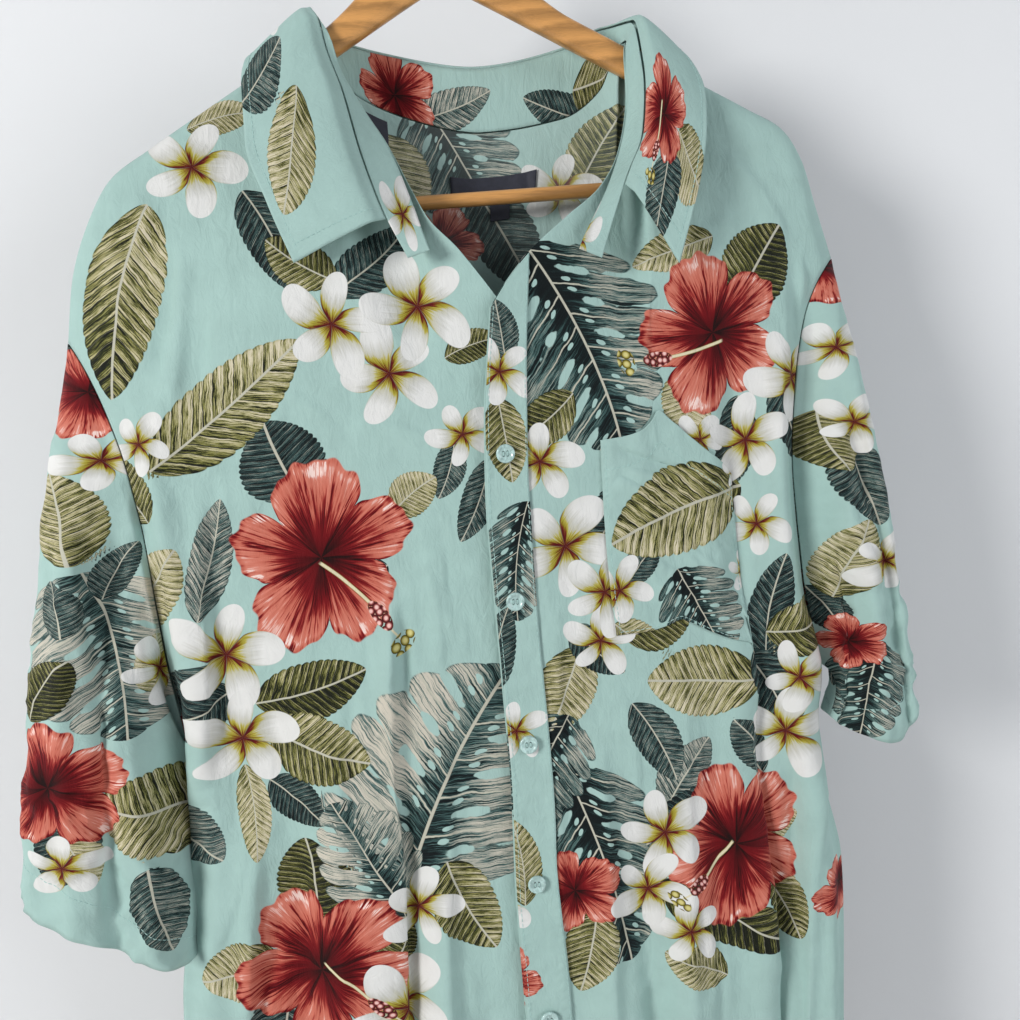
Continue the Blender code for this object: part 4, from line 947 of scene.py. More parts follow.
class Ink:
    """Makes and joins the nodes of one material."""

    def __init__(self, name):
        self.material = bpy.data.materials.new(name)
        self.material.use_nodes = True
        self.tree = self.material.node_tree
        self.shader = self.tree.nodes["Principled BSDF"]

    def feed(self, slot, item):
        if isinstance(item, Value):
            item = item.socket
        if isinstance(item, bpy.types.NodeSocket):
            self.tree.links.new(item, slot)
        else:
            if slot.type == "RGBA" and len(item) == 3:
                item = (*item, 1.0)
            slot.default_value = item

    def node(self, kind, settings=None, values=None):
        made = self.tree.nodes.new(kind)
        for key, item in (settings or {}).items():
            if key == "stops":
                ramp = made.color_ramp.elements
                while len(ramp) > 1:
                    ramp.remove(ramp[-1])
                for k, (place, colour) in enumerate(item):
                    stop = ramp[0] if k == 0 else ramp.new(place)
                    stop.position, stop.color = place, (*colour, 1.0)
            else:
                setattr(made, key, item)
        for key, item in (values or {}).items():
            self.feed(made.inputs[key], item)
        return made

    def attribute(self, name):
        return self.node("ShaderNodeAttribute", {"attribute_name": name})

    def join(self, x, y, z):
        return self.node("ShaderNodeCombineXYZ", {}, {0: x, 1: y, 2: z}).outputs[0]

    def split(self, vector):
        made = self.node("ShaderNodeSeparateXYZ", {}, {0: vector})
        return [Value(self, out) for out in made.outputs]

    def ramp(self, value, stops):
        return self.node("ShaderNodeValToRGB", {"stops": stops}, {0: value}).outputs[0]

    def mix(self, share, a, b):
        made = self.node("ShaderNodeMix", {"data_type": "RGBA"})
        for slot, item in zip([i for i in made.inputs if i.enabled], (share, a, b)):
            self.feed(slot, item)
        return next(o for o in made.outputs if o.enabled)

    def noise(self, where, scale, detail=2.0, rough=0.5, warp=0.0):
        made = self.node("ShaderNodeTexNoise", {}, {
            "Vector": where, "Scale": scale, "Detail": detail, "Roughness": rough,
            "Distortion": warp})
        return Value(self, made.outputs[0])

    def cells(self, where, unevenness):
        """Distance to the nearest of scattered points in a plane."""
        made = self.node("ShaderNodeTexVoronoi", {"voronoi_dimensions": "2D"}, {
            "Vector": where, "Scale": 1.0, "Randomness": unevenness})
        return Value(self, made.outputs["Distance"])

    def place(self, scale=(1, 1, 1), turn=(0, 0, 0), source=None):
        source = source or self.node("ShaderNodeTexCoord").outputs["Object"]
        return self.node("ShaderNodeMapping", {}, {
            "Vector": source, "Scale": scale, "Rotation": turn}).outputs[0]

    def bump(self, height, strength, distance, under=None):
        made = self.node("ShaderNodeBump", {}, {
            "Strength": strength, "Distance": distance, "Height": height})
        if under is not None:
            self.feed(made.inputs["Normal"], under)
        return made.outputs[0]

    def finish(self, **sockets):
        for key, item in sockets.items():
            self.feed(self.shader.inputs[key.replace("_", " ")], item)
        return self.material


def times(colour, factor, more=0.0):
    """A colour made lighter or darker."""
    return tuple(min(1, c * factor + more) for c in colour)


OLIVE = ((0.0, (0.006, 0.007, 0.004)), (0.26, (0.014, 0.017, 0.007)),
         (0.38, (0.070, 0.075, 0.014)), (0.54, (0.21, 0.205, 0.055)), (0.68, (0.39, 0.36, 0.18)),
         (1.0, (0.62, 0.56, 0.42)))
TEAL = ((0.0, (0.003, 0.006, 0.007)), (0.27, (0.007, 0.016, 0.017)),
        (0.38, (0.026, 0.060, 0.059)), (0.56, (0.075, 0.145, 0.138)),
        (0.72, (0.28, 0.30, 0.26)), (1.0, (0.56, 0.52, 0.44)))
CORAL = ((0.0, (0.010, 0.001, 0.001)), (0.20, (0.080, 0.001, 0.003)),
         (0.38, (0.165, 0.004, 0.007)), (0.48, (0.31, 0.034, 0.027)),
         (0.58, (0.49, 0.125, 0.085)), (0.86, (0.60, 0.20, 0.145)), (1.0, (0.82, 0.62, 0.57)))
PETAL = ((0.0, (0.075, 0.003, 0.005)), (0.12, (0.15, 0.014, 0.008)), (0.19, (0.24, 0.19, 0.012)),
         (0.34, (0.40, 0.35, 0.06)), (0.45, (0.47, 0.46, 0.37)), (0.66, (0.55, 0.55, 0.52)),
         (0.88, (0.66, 0.66, 0.645)), (1.0, (0.71, 0.71, 0.70)))
VEIN = (0.47, 0.46, 0.38)


def leaf_paint(ink, x, y, tone, wobble):
    """A leaf along x: side veins slant to the tip, each band runs from dark to light and is
    cut by engraved strokes that follow the veins; a pale midrib and a scalloped rim. A split
    leaf is dark at its midrib and pale in its lobes, with slits between the lobes and holes
    at the slits' inner ends."""
    teal, split = tone.ease(1.4, 1.5), tone.ease(3.4, 3.5)
    light = tone - teal * 2 - split * 2
    rib = abs(y)
    vein = x * (7.2 - split * 4.1) - rib * (2.3 - split * 1.0) + wobble * (0.6 - split * 0.35)
    vein = vein + y.ease(-0.01, 0.01) * 0.4
    band = vein.fract()
    middle = abs(band - 0.5)
    rim = (1 - abs(x) ** 2.2).most(0) ** (0.72 - split * 0.12) * (1.10 + split * 0.07 - x * 0.16)
    edge = rim * (1 - middle * middle * (split * 0.55 + 0.24)) - rib
    edge = edge - (abs(x) - 0.985).most(0) * 3
    cover = edge.ease(-0.012, 0.02)
    apart = 0.5 - middle
    slit = apart - (rib / (rim + 0.02) - 0.62 + wobble) * 0.24
    hole = ((apart / 0.14) ** 2 + ((rib - 0.40 + wobble * 0.6) / 0.15) ** 2).least(
        ((middle - 0.16) / 0.07) ** 2 + ((rib - 0.20) / 0.05) ** 2)
    cut = slit.ease(0.03, 0.0).most(hole.ease(1.25, 0.85)) * split * rib.ease(0.08, 0.12)
    stroke = ink.noise(ink.join(vein * (10 + split * 10), rib * 1.8, tone), 1.0, 4.0, 0.8) - 0.5
    stroke = stroke * 2.2 - stroke.ease(0.02, -0.08) * 0.20
    patch = ink.noise(ink.join(x * 1.7, y * 1.3, tone + 4), 1.0, 1.0) - 0.5
    plain = band * 0.44 + light * 0.62 - 0.10 + y.ease(-0.1, 0.1) * 0.12 + patch * 0.6
    plain = plain - band.ease(0.14, 0.0) * 0.25 - edge.ease(0.09, 0.0) * 0.15
    plain = plain + rib * (1 - light) * 0.10
    deep = rib.ease(0.0, 0.55) * 0.46 + light * 0.62 - 0.17 + patch * 0.5
    deep = deep - middle.ease(0.36, 0.5) * 0.16 - edge.ease(0.05, 0.0) * 0.25
    deep = deep + y.ease(-0.1, 0.1) * 0.12
    shade = plain + split * (deep - plain) + stroke * (1.05 - split * 0.1)
    thin = rib.ease(0.042 - split * 0.022, 0.026 - split * 0.014)
    thin = thin.most(middle.ease(0.035, 0.015) * split * rib.ease(0.95, 0.5))
    thin = thin.most(band.ease(0.035, 0.010) * (1 - split) * 0.45)
    colour = ink.mix(teal, ink.ramp(shade, OLIVE), ink.ramp(shade, TEAL))
    return ink.mix(thin, colour, VEIN), cover * (1 - cut)


def bloom_paint(ink, x, y, tone, wobble):
    """A ruffled flower of five wide petals: nearly black at the throat, deep red, then coral
    outwards cut by dark strokes along the petals, a dark rim and a few pale lights on it."""
    r = (x * x + y * y) ** 0.5
    a = y.math("ARCTAN2", x)
    bent = a + r * 0.22 + (a * 3 + tone * 5).sin() * 0.10
    petal = abs((bent * 2.5 + tone * 2).math("COSINE"))
    rim = petal ** 0.50 * 0.42 + 0.55 + (a * 17 + tone * 9).sin() * 0.022
    rim = rim + (a * 29 - tone * 5).sin() * 0.016 + (a * 2 + tone * 7).sin() * 0.060
    t = r / rim
    stroke = ink.noise(ink.join(x / r * 12, y / r * 12, r * 1.2 + tone), 1.0, 3.0, 0.75) - 0.5
    broad = ink.noise(ink.join(x * 2.1, y * 2.1, tone + 7), 1.0, 1.0) - 0.5
    fine = ink.noise(ink.join(x / r * 30, y / r * 30, r * 2.4), 1.0, 2.0, 0.7)
    stroke = stroke * 1.2 - fine.ease(0.47, 0.36) * 0.22 + fine.ease(0.56, 0.66) * 0.10
    shade = t * 0.74 + 0.13 + stroke * t.ease(0.10, 0.55) * 1.15 + broad * 0.40
    shade = shade - petal.ease(0.34, 0.03) * 0.26 - t.ease(0.90, 0.975) * 0.26
    shade = shade.least(0.93 - t.ease(0.94, 1.0) * 0.2)
    shade = shade - ((bent * 2.5 + tone * 2) * 2).sin().ease(-0.3, 0.9) * t.ease(0.95, 0.5) * 0.15
    light = (a * 7 + tone * 11 + stroke * 4).sin().ease(0.90, 1.0) * t.ease(0.80, 0.90)
    light = light * t.ease(1.0, 0.96)
    return ink.ramp(shade + light * 0.35, CORAL), t.ease(1.012, 0.988)


def star_paint(ink, x, y, tone, wobble):
    """A flower of five petals laid like a pinwheel, each of its own length and blunt-pointed:
    maroon and olive strokes run out of the throat into white, fine grey lines follow the
    petal and one side of it lies in grey shade."""
    r = (x * x + y * y) ** 0.5
    a = y.math("ARCTAN2", x)
    share = a * (2.5 / np.pi) + 0.5
    turn = share.fract() - 0.5
    count = share.math("FLOOR")
    own_length = (count * 2.4 + tone * 17).sin() * 0.09 + 0.93
    u = r * (turn * (0.4 * np.pi)).math("COSINE") / own_length
    w = r * (turn * (0.4 * np.pi)).sin() / own_length
    w = w + (u - 0.3) * (count * 3.7 + tone * 23).sin() * 0.10
    half = u.most(0) ** 0.72 * (1 - u).most(0) ** 0.48 * ((count * 5.1 + tone * 9).sin() * 0.07
                                                          + 0.63)
    inside = half - abs(w)
    cover = inside.ease(-0.004, 0.014).most(u.ease(0.16, 0.12))
    stroke = ink.noise(ink.join(x / r * 13, y / r * 13, r * 1.3), 1.0, 3.0, 0.7) - 0.5
    lines = ink.noise(ink.join(w * 26, u * 1.6, count + tone * 5), 1.0, 2.0, 0.6) - 0.5
    shade = u * 1.50 + stroke * (u.ease(0.50, 0.10) * 1.0 + 0.10) + lines * u.ease(0.2, 0.5) * 0.55
    shade = shade - inside.ease(0.05, 0.0) * 0.18 - turn.ease(0.02, 0.40) * 0.30
    shade = shade.least(0.95 - turn.ease(0.0, 0.3) * 0.16) - inside.ease(0.018, 0.0) * 0.22
    seam = abs(turn).ease(0.450, 0.492) * u.ease(0.55, 0.20)
    return ink.mix(seam * 0.6, ink.ramp(shade, PETAL), (0.20, 0.19, 0.13)), cover


def stamen_paint(ink, x, y, tone, wobble):
    """A stamen from throat (-1) to tip (1): a cream rod, a cluster of pink beads with dark
    rims, a thin olive style and a few olive beads at its end."""
    mid = y - (1 - x * x) * 0.34
    rod = abs(mid).ease(0.115, 0.075) * x.ease(-1.0, -0.94) * x.ease(0.15, 0.05)
    style = abs(mid).ease(0.06, 0.035) * x.ease(0.40, 0.45) * x.ease(0.86, 0.82)
    cells = ink.cells(ink.join(x * 8.3, mid * 2.5, 0.0), 0.35)
    beads = ((x - 0.30) / 0.28) ** 2 + (mid / 0.42) ** 2
    ends = ((x - 0.87) / 0.15) ** 2 + (mid / 0.80) ** 2
    in_beads = beads.ease(1.08, 0.92) * cells.ease(0.66, 0.58)
    large = ink.cells(ink.join(x * 5.6 + 0.4, mid * 1.8, 0.0), 0.3)
    in_ends = ends.ease(1.1, 0.9) * large.ease(0.50, 0.45)
    glow = cells.ease(0.50, 0.14)
    pale = ink.mix(abs(mid).ease(0.045, 0.10), (0.66, 0.60, 0.42), (0.30, 0.24, 0.06))
    colour = ink.mix(in_beads, pale, ink.ramp(glow, (
        (0.0, (0.06, 0.004, 0.006)), (0.5, (0.36, 0.09, 0.08)), (1.0, (0.78, 0.50, 0.46)))))
    colour = ink.mix(in_ends, colour, ink.ramp(large.ease(0.48, 0.12), (
        (0.0, (0.03, 0.02, 0.003)), (0.30, (0.22, 0.18, 0.02)), (1.0, (0.60, 0.54, 0.22)))))
    return colour, rod.most(style).most(in_beads).most(in_ends)


PAINTS = {"under": leaf_paint, "leaf": leaf_paint, "bloom": bloom_paint,
          "star_low": star_paint, "star": star_paint, "star_top": star_paint,
          "stamen": stamen_paint}


def printed_cloth(name, layers, ground, fade):
    """Printed cloth: each motif layer painted over the ground from its own attribute, then a
    faint weave, fine creases and a soft sheen."""
    ink = Ink(name)
    flat = ink.attribute("cloth").outputs["Vector"]
    soft = ink.noise(flat, 0.055, 3.0, 0.55)
    wobble = soft - 0.5
    colour = ink.mix(wobble.ease(-0.2, 0.25), ground, times(ground, 0.94))
    for layer in LAYERS:
        if layer not in layers:
            continue
        info = ink.attribute("print_" + layer)
        x, y, inside = ink.split(info.outputs["Vector"])
        tone = Value(ink, info.outputs["Alpha"])
        paint, cover = PAINTS[layer](ink, x, y, tone, wobble)
        colour = ink.mix(cover * inside.ease(-1.8, -0.9), colour, paint)
    if fade:
        colour = ink.mix(fade, colour, times(ground, 0.6, 0.30))
    weave = ink.noise(ink.place((1, 1, 0.55)), 1700.0, 1.0)
    fine = ink.noise(ink.place((0.17, 0.07, 1), source=flat), 1.0, 5.0, 0.6, 0.8)
    normal = ink.bump(weave, 0.12, 0.00025)
    normal = ink.bump(fine, 0.42, 0.0024, normal)
    return ink.finish(Base_Color=colour, Roughness=soft * 0.10 + 0.74, Normal=normal,
                      Sheen_Weight=0.04, Sheen_Roughness=0.5, Specular_IOR_Level=0.16)


def wood_finish(name, colour):
    """Varnished wood: long grain lines along x bent by a slow noise, darker pores, satin coat."""
    ink = Ink(name)
    where = ink.place((6, 60, 60))
    wave = ink.noise(where, 2.2, 4.0, 0.6, 0.6)
    rings = ((ink.split(ink.place())[2] * 620) + wave * 9).sin() * 0.5 + 0.5
    pores = ink.noise(ink.place((18, 420, 420)), 6.0, 3.0, 0.65)
    shade = wave * 0.55 + rings * 0.25 + pores * 0.35 - 0.1
    tint = ink.ramp(shade, ((0.15, times(colour, 0.42)), (0.5, colour),
                            (0.85, times(colour, 1.45))))
    normal = ink.bump(pores, 0.15, 0.0004)
    return ink.finish(Base_Color=tint, Roughness=shade * 0.15 + 0.28, Normal=normal,
                      Coat_Weight=0.35, Coat_Roughness=0.18)


def chrome_finish(name):
    """Plated wire with faint drawing lines and a little uneven gloss."""
    ink = Ink(name)
    haze = ink.noise(ink.place((1, 1, 0.2)), 260.0, 3.0, 0.6)
    tint = ink.mix(haze, (0.50, 0.50, 0.51), (0.78, 0.78, 0.79))
    return ink.finish(Base_Color=tint, Metallic=1.0, Roughness=haze * 0.22 + 0.10,
                      Normal=ink.bump(haze, 0.05, 0.0002))


def button_finish(name, colour):
    """Glossy resin with slow milky clouds like shell."""
    ink = Ink(name)
    cloud = ink.noise(ink.place((1, 1, 0.6)), 330.0, 3.0, 0.55, 1.2)
    tint = ink.mix(cloud.ease(0.3, 0.75), times(colour, 0.78), times(colour, 1.25))
    return ink.finish(Base_Color=tint, Roughness=cloud * 0.12 + 0.16,
                      Normal=ink.bump(cloud, 0.04, 0.0002), Coat_Weight=0.4,
                      Coat_Roughness=0.1)


def thread_finish(name, colour):
    """Twisted sewing thread: fine slanted plies."""
    ink = Ink(name)
    twist = ink.noise(ink.place((1, 1, 0.4), (0.5, 0, 0.6)), 4200.0, 2.0)
    tint = ink.mix(twist, times(colour, 0.72), times(colour, 1.1))
    return ink.finish(Base_Color=tint, Roughness=twist * 0.1 + 0.6,
                      Normal=ink.bump(twist, 0.3, 0.0001))


def label_finish(name, colour):
    """Plain woven label: fine ribs across it, a little shine on the threads."""
    ink = Ink(name)
    flat = ink.attribute("cloth").outputs["Vector"]
    x, z, _ = ink.split(flat)
    rib = (x * 12.0).sin() * 0.5 + (z * 15.0).sin() * 0.5
    soft = ink.noise(flat, 0.35, 3.0, 0.6)
    tint = ink.mix((rib * 0.25 + soft * 0.9).math("MULTIPLY", 1.0, clamp=True),
                   times(colour, 0.55), times(colour, 1.9, 0.01))
    return ink.finish(Base_Color=tint, Roughness=soft * 0.15 + 0.5,
                      Normal=ink.bump(rib, 0.25, 0.0002), Sheen_Weight=0.2)


# ------------------------------------------------------------------------ pieces
def moved(rows, dx, dz, keep):
    """The same motifs mirrored left to right and moved, where keep says so."""
    out = []
    for layer, kind, x, z, turn, long, wide, light, tip in rows:
        spot = (dx - x, z + dz)
        if keep(*spot):
            out.append((layer, kind, *spot, 180 - turn, long, wide, light, tip))
    return tuple(out)


def on_hem(x, z):
    return -1010 < z < -800


FRONT_PRINT = {-1: RIGHT_FRONT_PRINT + moved(LEFT_FRONT_PRINT, 0, -500, on_hem),
               1: LEFT_FRONT_PRINT + moved(RIGHT_FRONT_PRINT, 0, -470, on_hem)}
SLEEVE_PRINT = {-1: RIGHT_SLEEVE_PRINT, 1: LEFT_SLEEVE_PRINT}
LOW_PLACKET_PRINT = PLACKET_PRINT + moved(PLACKET_PRINT, -12, -400, on_hem)


def button_surface(centre, n):
    """Lathe of a button round its axis n: a dished middle, a raised round rim and a flat
    foot. Returns points, faces and two directions across the button."""
    around = 48
    u = unit(np.cross(n, (0.0, 0.0, 1.0)))
    w = np.cross(n, u)
    turn = np.linspace(0, 2 * np.pi, around, endpoint=False)
    profile = np.array([(0.02, .16), (0.10, .16), (0.30, .17), (0.50, .20), (0.62, .26),
                        (0.70, .42), (0.76, .49), (0.84, .50), (0.92, .44), (0.98, .28),
                        (1.00, .06), (0.98, -.20), (0.92, -.40), (0.80, -.48), (0.02, -.50)])
    r, h = profile[:, 0, None] * BUTTON_RADIUS, profile[:, 1, None] * BUTTON_DEPTH
    points = (centre + n * h[..., None] + (u * np.cos(turn)[None, :, None]
              + w * np.sin(turn)[None, :, None]) * r[..., None]).reshape(-1, 3)
    return points, capped(len(profile), around), u, w


def arm_low(x):
    """Lower edge of the hanger with its end lobes."""
    out = np.abs(x)
    lobe = LOBE_DROP * smooth((out - LOBE_START + 4 * MM) / (6 * MM))
    return ARM_APEX - ARM_SLOPE * np.sqrt(out ** 2 + (6 * MM) ** 2) + 3.5 * MM - lobe


def arm_high(x):
    """Upper edge of the hanger, flared at the middle."""
    out = np.abs(x)
    return ARM_APEX - ARM_SLOPE * out + ARM_HEIGHT + ARM_FLARE * (1 - smooth(out / ARM_FLARE_RUN))


def stitch_row(path, outside, length, gap, radius):
    """Short round threads laid end to end along a path, each sunk at both ends. Path points
    and outward unit normals are (n, 3); returns points and faces of all stitches."""
    step = np.linalg.norm(np.diff(path, axis=0), axis=1)
    run = np.concatenate([[0], np.cumsum(step)])
    count = max(int(run[-1] / (length + gap)), 1)
    starts = (np.arange(count) + 0.12) * run[-1] / count
    share = np.array([0.0, 0.18, 0.5, 0.82, 1.0])
    at = starts[:, None] + share * length * run[-1] / count / (length + gap)
    mid = np.stack([np.interp(at, run, path[:, k]) for k in range(3)], -1)
    nor = unit(np.stack([np.interp(at, run, outside[:, k]) for k in range(3)], -1))
    lift = np.array([-0.6, 0.35, 0.55, 0.35, -0.6]) * radius
    mid = mid + nor * lift[:, None]
    side = unit(np.cross(np.gradient(mid, axis=1), nor))
    turn = np.linspace(0, 2 * np.pi, 5, endpoint=False)
    thick = radius * np.array([0.5, 1, 1.1, 1, 0.5])[:, None, None]
    ring = mid[:, :, None] + (side[:, :, None] * np.cos(turn)[:, None]
                              + nor[:, :, None] * np.sin(turn)[:, None]) * thick
    base = np.arange(count)[:, None] * 25
    faces = (base[:, None] + grid_faces(5, 5, closed=True)[None]).reshape(-1, 4)
    return ring.reshape(-1, 3), faces


def stitching(name, rows, material):
    """One mesh of several stitch rows."""
    points, faces, count = [], [], 0
    for path, outside in rows:
        p, f = stitch_row(path, outside, sizes().stitch, STITCH_GAP, sizes().thread)
        points.append(p)
        faces.append(f + count)
        count += len(p)
    obj = mesh_object(name, np.concatenate(points), np.concatenate(faces))
    return own(obj, (material,), "printed_cloth")


def on_cloth(points, normals, lift):
    """The path of a stitch row lifted off the cloth, in mm, with the cloth's normals."""
    return points + normals * lift * MM, normals


def hem_row(skin, first, count, away):
    """The stitch row round a panel's hem, from the place first to the side seam."""
    points = skin(*grid(np.linspace(first, 1, count), HEM_ROWS))
    return on_cloth(points[1], outward(points, away)[1], HEM_SEAM)


def sleeve_sheet(side):
    """Grid of a sleeve: places round it and down it, and points."""
    t, r = grid(np.linspace(-0.5, 0.5, SLEEVE_GRID[0]), np.linspace(0, 1, SLEEVE_GRID[1]))
    return t, r, sleeve_skin(side, t, r)


def cuff_row(side):
    """The stitch row round a cuff."""
    points = sleeve_sheet(side)[2]
    n = outward(points, from_middle(points))
    return on_cloth(points[CUFF_ROW], n[CUFF_ROW], HEM_SEAM)


def pocket_sheet():
    """Grid of the pocket: points, and places across and down the front."""
    return pocket_skin(*grid(*(np.linspace(0, 1, n) for n in POCKET_GRID)))


def pocket_rows():
    """The stitch rows down the pocket's sides, across its foot and under its mouth."""
    sheet = pocket_sheet()[0]
    both = np.concatenate([sheet, outward(sheet, TO_FRONT)], -1)
    across_end, down_end = (n - 1 for n in POCKET_GRID)

    def between_points(k, q):
        i, j = k * across_end, q * down_end
        i0 = np.minimum(i.astype(int), across_end - 1)
        j0 = np.minimum(j.astype(int), down_end - 1)
        p, t = (i - i0)[:, None], (j - j0)[:, None]
        out = ((1 - p) * (1 - t) * both[j0, i0] + p * (1 - t) * both[j0, i0 + 1]
               + (1 - p) * t * both[j0 + 1, i0] + p * t * both[j0 + 1, i0 + 1])
        return on_cloth(out[:, :3], out[:, 3:], FLAT_SEAM)
    k = np.linspace(0.02, 0.98, 200)
    return [between_points(0 * k + 0.025, k), between_points(k, 0 * k + 0.985),
            between_points(0 * k + 0.975, k), between_points(k, 0 * k + 0.155)]


def placket_rows():
    """The stitch rows down both edges of the placket."""
    down = np.linspace(PLACKET_TOP + 0.002, 0.995, 700)
    rows = []
    for s in (PLACKET[0] + 0.010, PLACKET[1] - 0.006):
        points = placket_skin(*grid(s + SEAM_STEP, down))
        rows.append(on_cloth(points[:, 1], outward(points, TO_FRONT)[:, 1], FLAT_SEAM))
    return rows


def leaf_sheet():
    """Grid of the collar leaf: places round and down it, points and outward normals."""
    a, b = grid(np.linspace(-LEAF_END, LEAF_END, 301), stretches((0, 0.1, 8), (0.1, 1, 42)))
    points = leaf(a, b)
    return a, b, points, outward(points, level_out(points))


def leaf_rows():
    """The stitch rows along the leaf's outer edge and down both its ends."""
    points, n = leaf_sheet()[2:]
    lines = (np.s_[46, 3:-3], np.s_[6:47, 4], np.s_[6:47, -5])
    return [on_cloth(points[line], n[line], COLLAR_SEAM) for line in lines]


FRONT_NAMES = {-1: "front_panel_right", 1: "front_panel_left"}
SLEEVE_NAMES = {-1: "sleeve_right", 1: "sleeve_left"}
ROWS_DOWN = stretches((0, 0.012, 9), (0.012, 0.06, 14), (0.06, 1, 330))


def size_choice(name, about, default, low, high):
    return FloatProperty(name=name, description=about, default=default, min=low, max=high,
                         unit="LENGTH")


def colour_choice(name, about, default):
    return FloatVectorProperty(name=name, description=about, subtype="COLOR", default=default,
                               min=0, max=1)


class ShirtSizes(bpy.types.PropertyGroup):
    """Sizes that a user may change before the pieces are built."""
    cloth: size_choice("Cloth thickness", "Thickness of the shirt's cloth",
                       0.5 * MM, 0.2 * MM, 1 * MM)
    stitch: size_choice("Stitch length", "Length of one visible stitch",
                        2.6 * MM, 1 * MM, 6 * MM)
    thread: size_choice("Thread radius", "Radius of the sewing thread",
                        0.20 * MM, 0.1 * MM, 0.5 * MM)


class ShirtColours(bpy.types.PropertyGroup):
    """Colours that a user may change before the pieces are built."""
    ground: colour_choice("Cloth ground", "Colour between the motifs", (0.352, 0.512, 0.480))
    button: colour_choice("Buttons", "Colour of the buttons", (0.39, 0.55, 0.53))
    label: colour_choice("Labels", "Colour of the blank labels", (0.012, 0.014, 0.028))
    wood: colour_choice("Wood", "Colour of the hanger", (0.56, 0.275, 0.085))
    thread: colour_choice("Thread", "Colour of the sewing thread", (0.42, 0.63, 0.60))
    wall: colour_choice("Wall", "Colour of the backdrop", (0.74, 0.75, 0.77))


def colour(name):
    return tuple(getattr(bpy.context.scene.shirt_colours, name))


def sizes():
    return bpy.context.scene.shirt_sizes


def printed_piece(name, node, points, outside, place, prints, wall=None, sides=2):
    """A printed sheet, its wrong side a little paler than its printed one."""
    layers = sorted({row[0] for row in prints}, key=LAYERS.index)
    materials = [printed_cloth(name + ending, layers, colour("ground"), fade)
                 for ending, fade in (("_print", 0.0), ("_wrong_side", 0.10))[:sides]]
    return cloth_piece("printed_" + name, node, points, outside, place, prints,
                       wall or sizes().cloth, materials, "printed_cloth")


class SHIRT_OT_fronts(bpy.types.Operator):
    """Build both fronts, the button placket and the chest pocket"""
    bl_idname = "shirt.fronts"
    bl_label = "Fronts"

    def execute(self, context):
        for side, node in FRONT_NAMES.items():
            s, v = grid(stretches((0, 0.5, 60), (0.5, 0.95, 48), (0.95, 1, 9)), ROWS_DOWN)
            printed_piece(node, node, front_skin(side, s, v), TO_FRONT, flat(front(side, s, v)),
                          FRONT_PRINT[side])
        s, v = grid(np.linspace(*PLACKET, 24),
                    stretches((PLACKET_TOP, 0.012, 12), (0.012, 0.06, 30), (0.06, 1, 560)))
        printed_piece("placket", "button_placket", placket_skin(s, v), TO_FRONT,
                      flat(front(1, s, v)), LOW_PLACKET_PRINT)
        points, s, v = pocket_sheet()
        printed_piece("pocket", "chest_pocket", points, TO_FRONT, flat(front(1, s, v)),
                      POCKET_PRINT)
        return {"FINISHED"}


class SHIRT_OT_back(bpy.types.Operator):
    """Build the back panel, printed on both sides"""
    bl_idname = "shirt.back"
    bl_label = "Back"

    def execute(self, context):
        rows = BACK_PRINT + moved(FRONT_PRINT[-1] + FRONT_PRINT[1], -8, 0,
                                  lambda x, z: z < -395 or abs(x) > 125)
        s, v = grid(stretches((-1, -0.95, 8), (-0.95, 0.95, 176), (0.95, 1, 8)),
                    stretches((0, 0.012, 8), (0.012, 0.06, 14), (0.06, 1, 210)))
        printed_piece("back", "back_panel", back_skin(s, v), TO_BACK, flat(back(s, v)), rows)
        return {"FINISHED"}


class SHIRT_OT_sleeves(bpy.types.Operator):
    """Build both sleeves as sheets closed at the underarm seam"""
    bl_idname = "shirt.sleeves"
    bl_label = "Sleeves"

    def execute(self, context):
        for side, node in SLEEVE_NAMES.items():
            t, r, points = sleeve_sheet(side)
            printed_piece(node, node, points, from_middle(points), flat_sleeve(side, t, r),
                          SLEEVE_PRINT[side])
        return {"FINISHED"}


class SHIRT_OT_collar(bpy.types.Operator):
    """Build the collar stand and the folded-down leaf"""
    bl_idname = "shirt.collar"
    bl_label = "Collar"

    def execute(self, context):
        a, b = grid(np.linspace(-1, 1, 301), np.linspace(0, 1, 16))
        points = stand(a, b)
        printed_piece("collar_stand", "collar_stand", points, level_out(points),
                      (a * COLLAR_HALF, b * STAND_DEEP), STAND_PRINT, sides=1)
        a, b, points, _ = leaf_sheet()
        x, z = a * COLLAR_HALF, b * LEAF_DEEP
        edge = smooth(b / 0.1) * smooth((LEAF_END - np.abs(a)) / 0.02)
        rise = crumple(x, z, 41) * LEAF_CRUMPLE * edge + LEAF_RIM * np.exp(
            -((1 - b) / 0.05) ** 2)
        away = level_out(points)
        printed_piece("collar_leaf", "collar_leaf", raised(points, rise, away), away, (x, z),
                      LEAF_PRINT, LEAF_WALL)
        return {"FINISHED"}


class SHIRT_OT_labels(bpy.types.Operator):
    """Build the three blank labels inside the back"""
    bl_idname = "shirt.labels"
    bl_label = "Blank labels"

    def execute(self, context):
        finish = label_finish("label_weave", colour("label"))
        for name, (s0, s1, v0, v1) in LABELS.items():
            s, v = grid(np.linspace(s0, s1, 40), np.linspace(v0, v1, 18))
            cloth_piece("blank_" + name, name, raised(back_skin(s, v), LABEL_LIFT), TO_FRONT,
                        flat(back(s, v)), (), LABEL_WALL, (finish,), "label_cloth")
        return {"FINISHED"}


